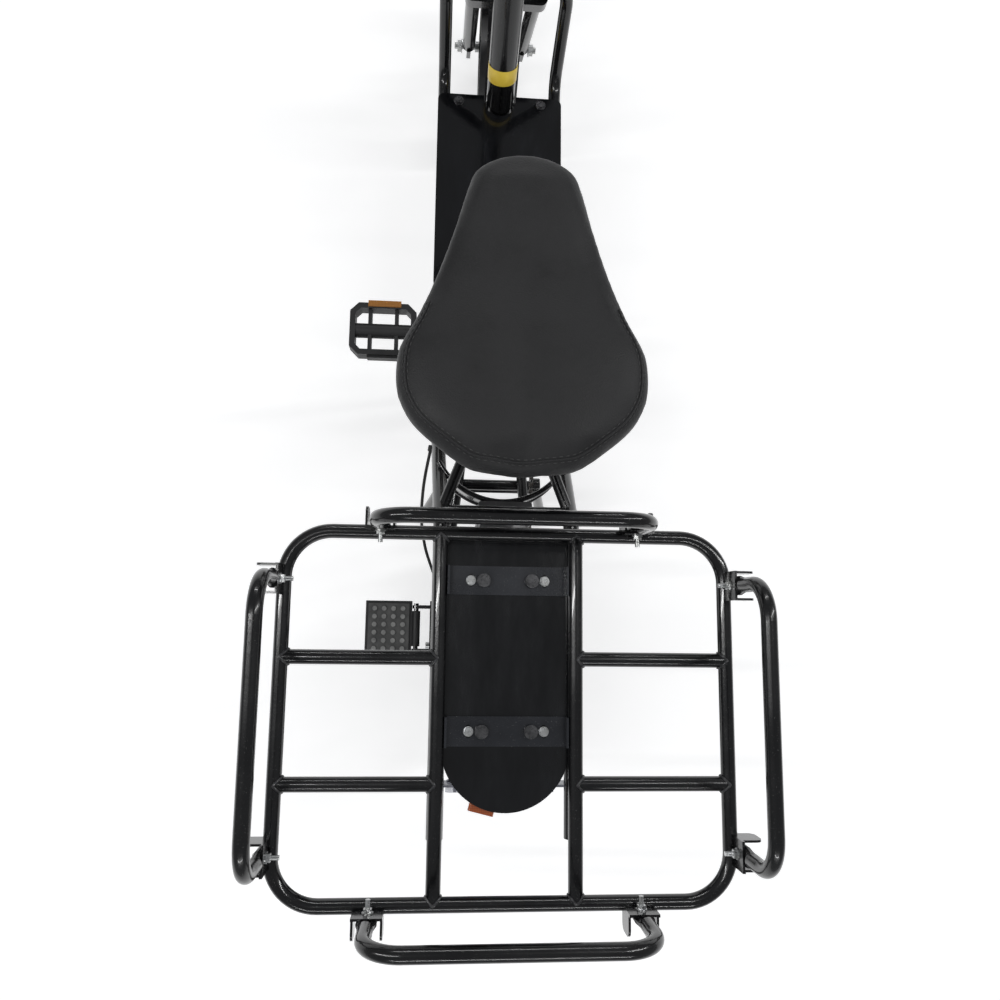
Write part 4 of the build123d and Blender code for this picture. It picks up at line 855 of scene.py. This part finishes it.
# ---------------------------------------------------------------- lamp glass
# A clear fluted cover over the headlamp's bowl.
glass, glass_tree, glass_shader = new_material("lamp_glass")
glass_place = place_coords(glass_tree)
flutes = add_node(glass_tree, "ShaderNodeTexWave", Scale=60.0)
glass_tree.links.new(glass_place, flutes.inputs["Vector"])
glass_tree.links.new(ramp(glass_tree, noise(glass_tree, glass_place, 30), [(0.3, (0.75, 0.78, 0.8)), (0.7, (0.92, 0.94, 0.95))]), glass_shader.inputs["Base Color"])
glass_tree.links.new(spread(glass_tree, noise(glass_tree, glass_place, 80), 0.05, 0.15), glass_shader.inputs["Roughness"])
glass_tree.links.new(bump(glass_tree, flutes.outputs["Fac"], 0.4, 0.001), glass_shader.inputs["Normal"])
glass_shader.inputs["Transmission Weight"].default_value = 0.5
nodes["headlamp"].data.materials.append(glass)
lamp_high = Vector(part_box("headlamp")[1])
dress_where("headlamp", 1, lambda c: c.y > lamp_high.y - 0.0268 and abs(c.x) < 0.0312)

# ---------------------------------------------------------------- floor, light and camera
bpy.ops.mesh.primitive_plane_add(size=14, location=(0, 0, cad_low[2]))
floor = bpy.context.object
floor.name = "studio_floor"
floor_white, floor_tree, floor_shader = new_material("pale_floor")
floor_place = place_coords(floor_tree)
floor_tree.links.new(ramp(floor_tree, noise(floor_tree, floor_place, 3), [(0.3, (0.86, 0.86, 0.86)), (0.7, (0.9, 0.9, 0.9))]), floor_shader.inputs["Base Color"])
floor_shader.inputs["Roughness"].default_value = 0.7
floor_shader.inputs["Emission Color"].default_value = (1, 1, 1, 1)
floor_shader.inputs["Emission Strength"].default_value = 0.42
floor.data.materials.append(floor_white)


def soft_light(name, place, target, width, height, power):
    data = bpy.data.lights.new(name, "AREA")
    data.shape = "RECTANGLE"
    data.size, data.size_y = width, height
    data.energy = power
    lamp = bpy.data.objects.new(name, data)
    lamp.location = place
    lamp.rotation_euler = (Vector(target) - Vector(place)).to_track_quat("-Z", "Y").to_euler()
    bpy.context.scene.collection.objects.link(lamp)


soft_light("overhead_left", (-1.7, -0.4, 2.9), (0, -0.3, 0.5), 0.06, 2.6, 28)
soft_light("overhead_right", (1.8, 0.2, 2.7), (0, -0.2, 0.5), 0.05, 2.6, 24)
soft_light("front_bank", (0, 3.0, 2.6), (0, 0, 0.5), 2.6, 0.06, 24)
soft_light("rear_bank", (0, -2.9, 2.4), (0, -0.3, 0.5), 2.4, 0.05, 18)
world = bpy.data.worlds.new("studio")
world.use_nodes = True
world.node_tree.nodes["Background"].inputs["Color"].default_value = (0.95, 0.97, 1.0, 1)
world.node_tree.nodes["Background"].inputs["Strength"].default_value = 0.27
scene = bpy.context.scene
scene.world = world
scene.view_settings.view_transform = "Standard"

camera_data = bpy.data.cameras.new("camera")
camera_data.lens = 29.1
camera_data.sensor_width = 36
camera = bpy.data.objects.new("camera", camera_data)
camera.location = (-0.0942, -0.4892, 1.7166)
camera.rotation_euler = tuple(math.radians(a) for a in (8.21, -4.496, 0.764))
scene.collection.objects.link(camera)
scene.camera = camera
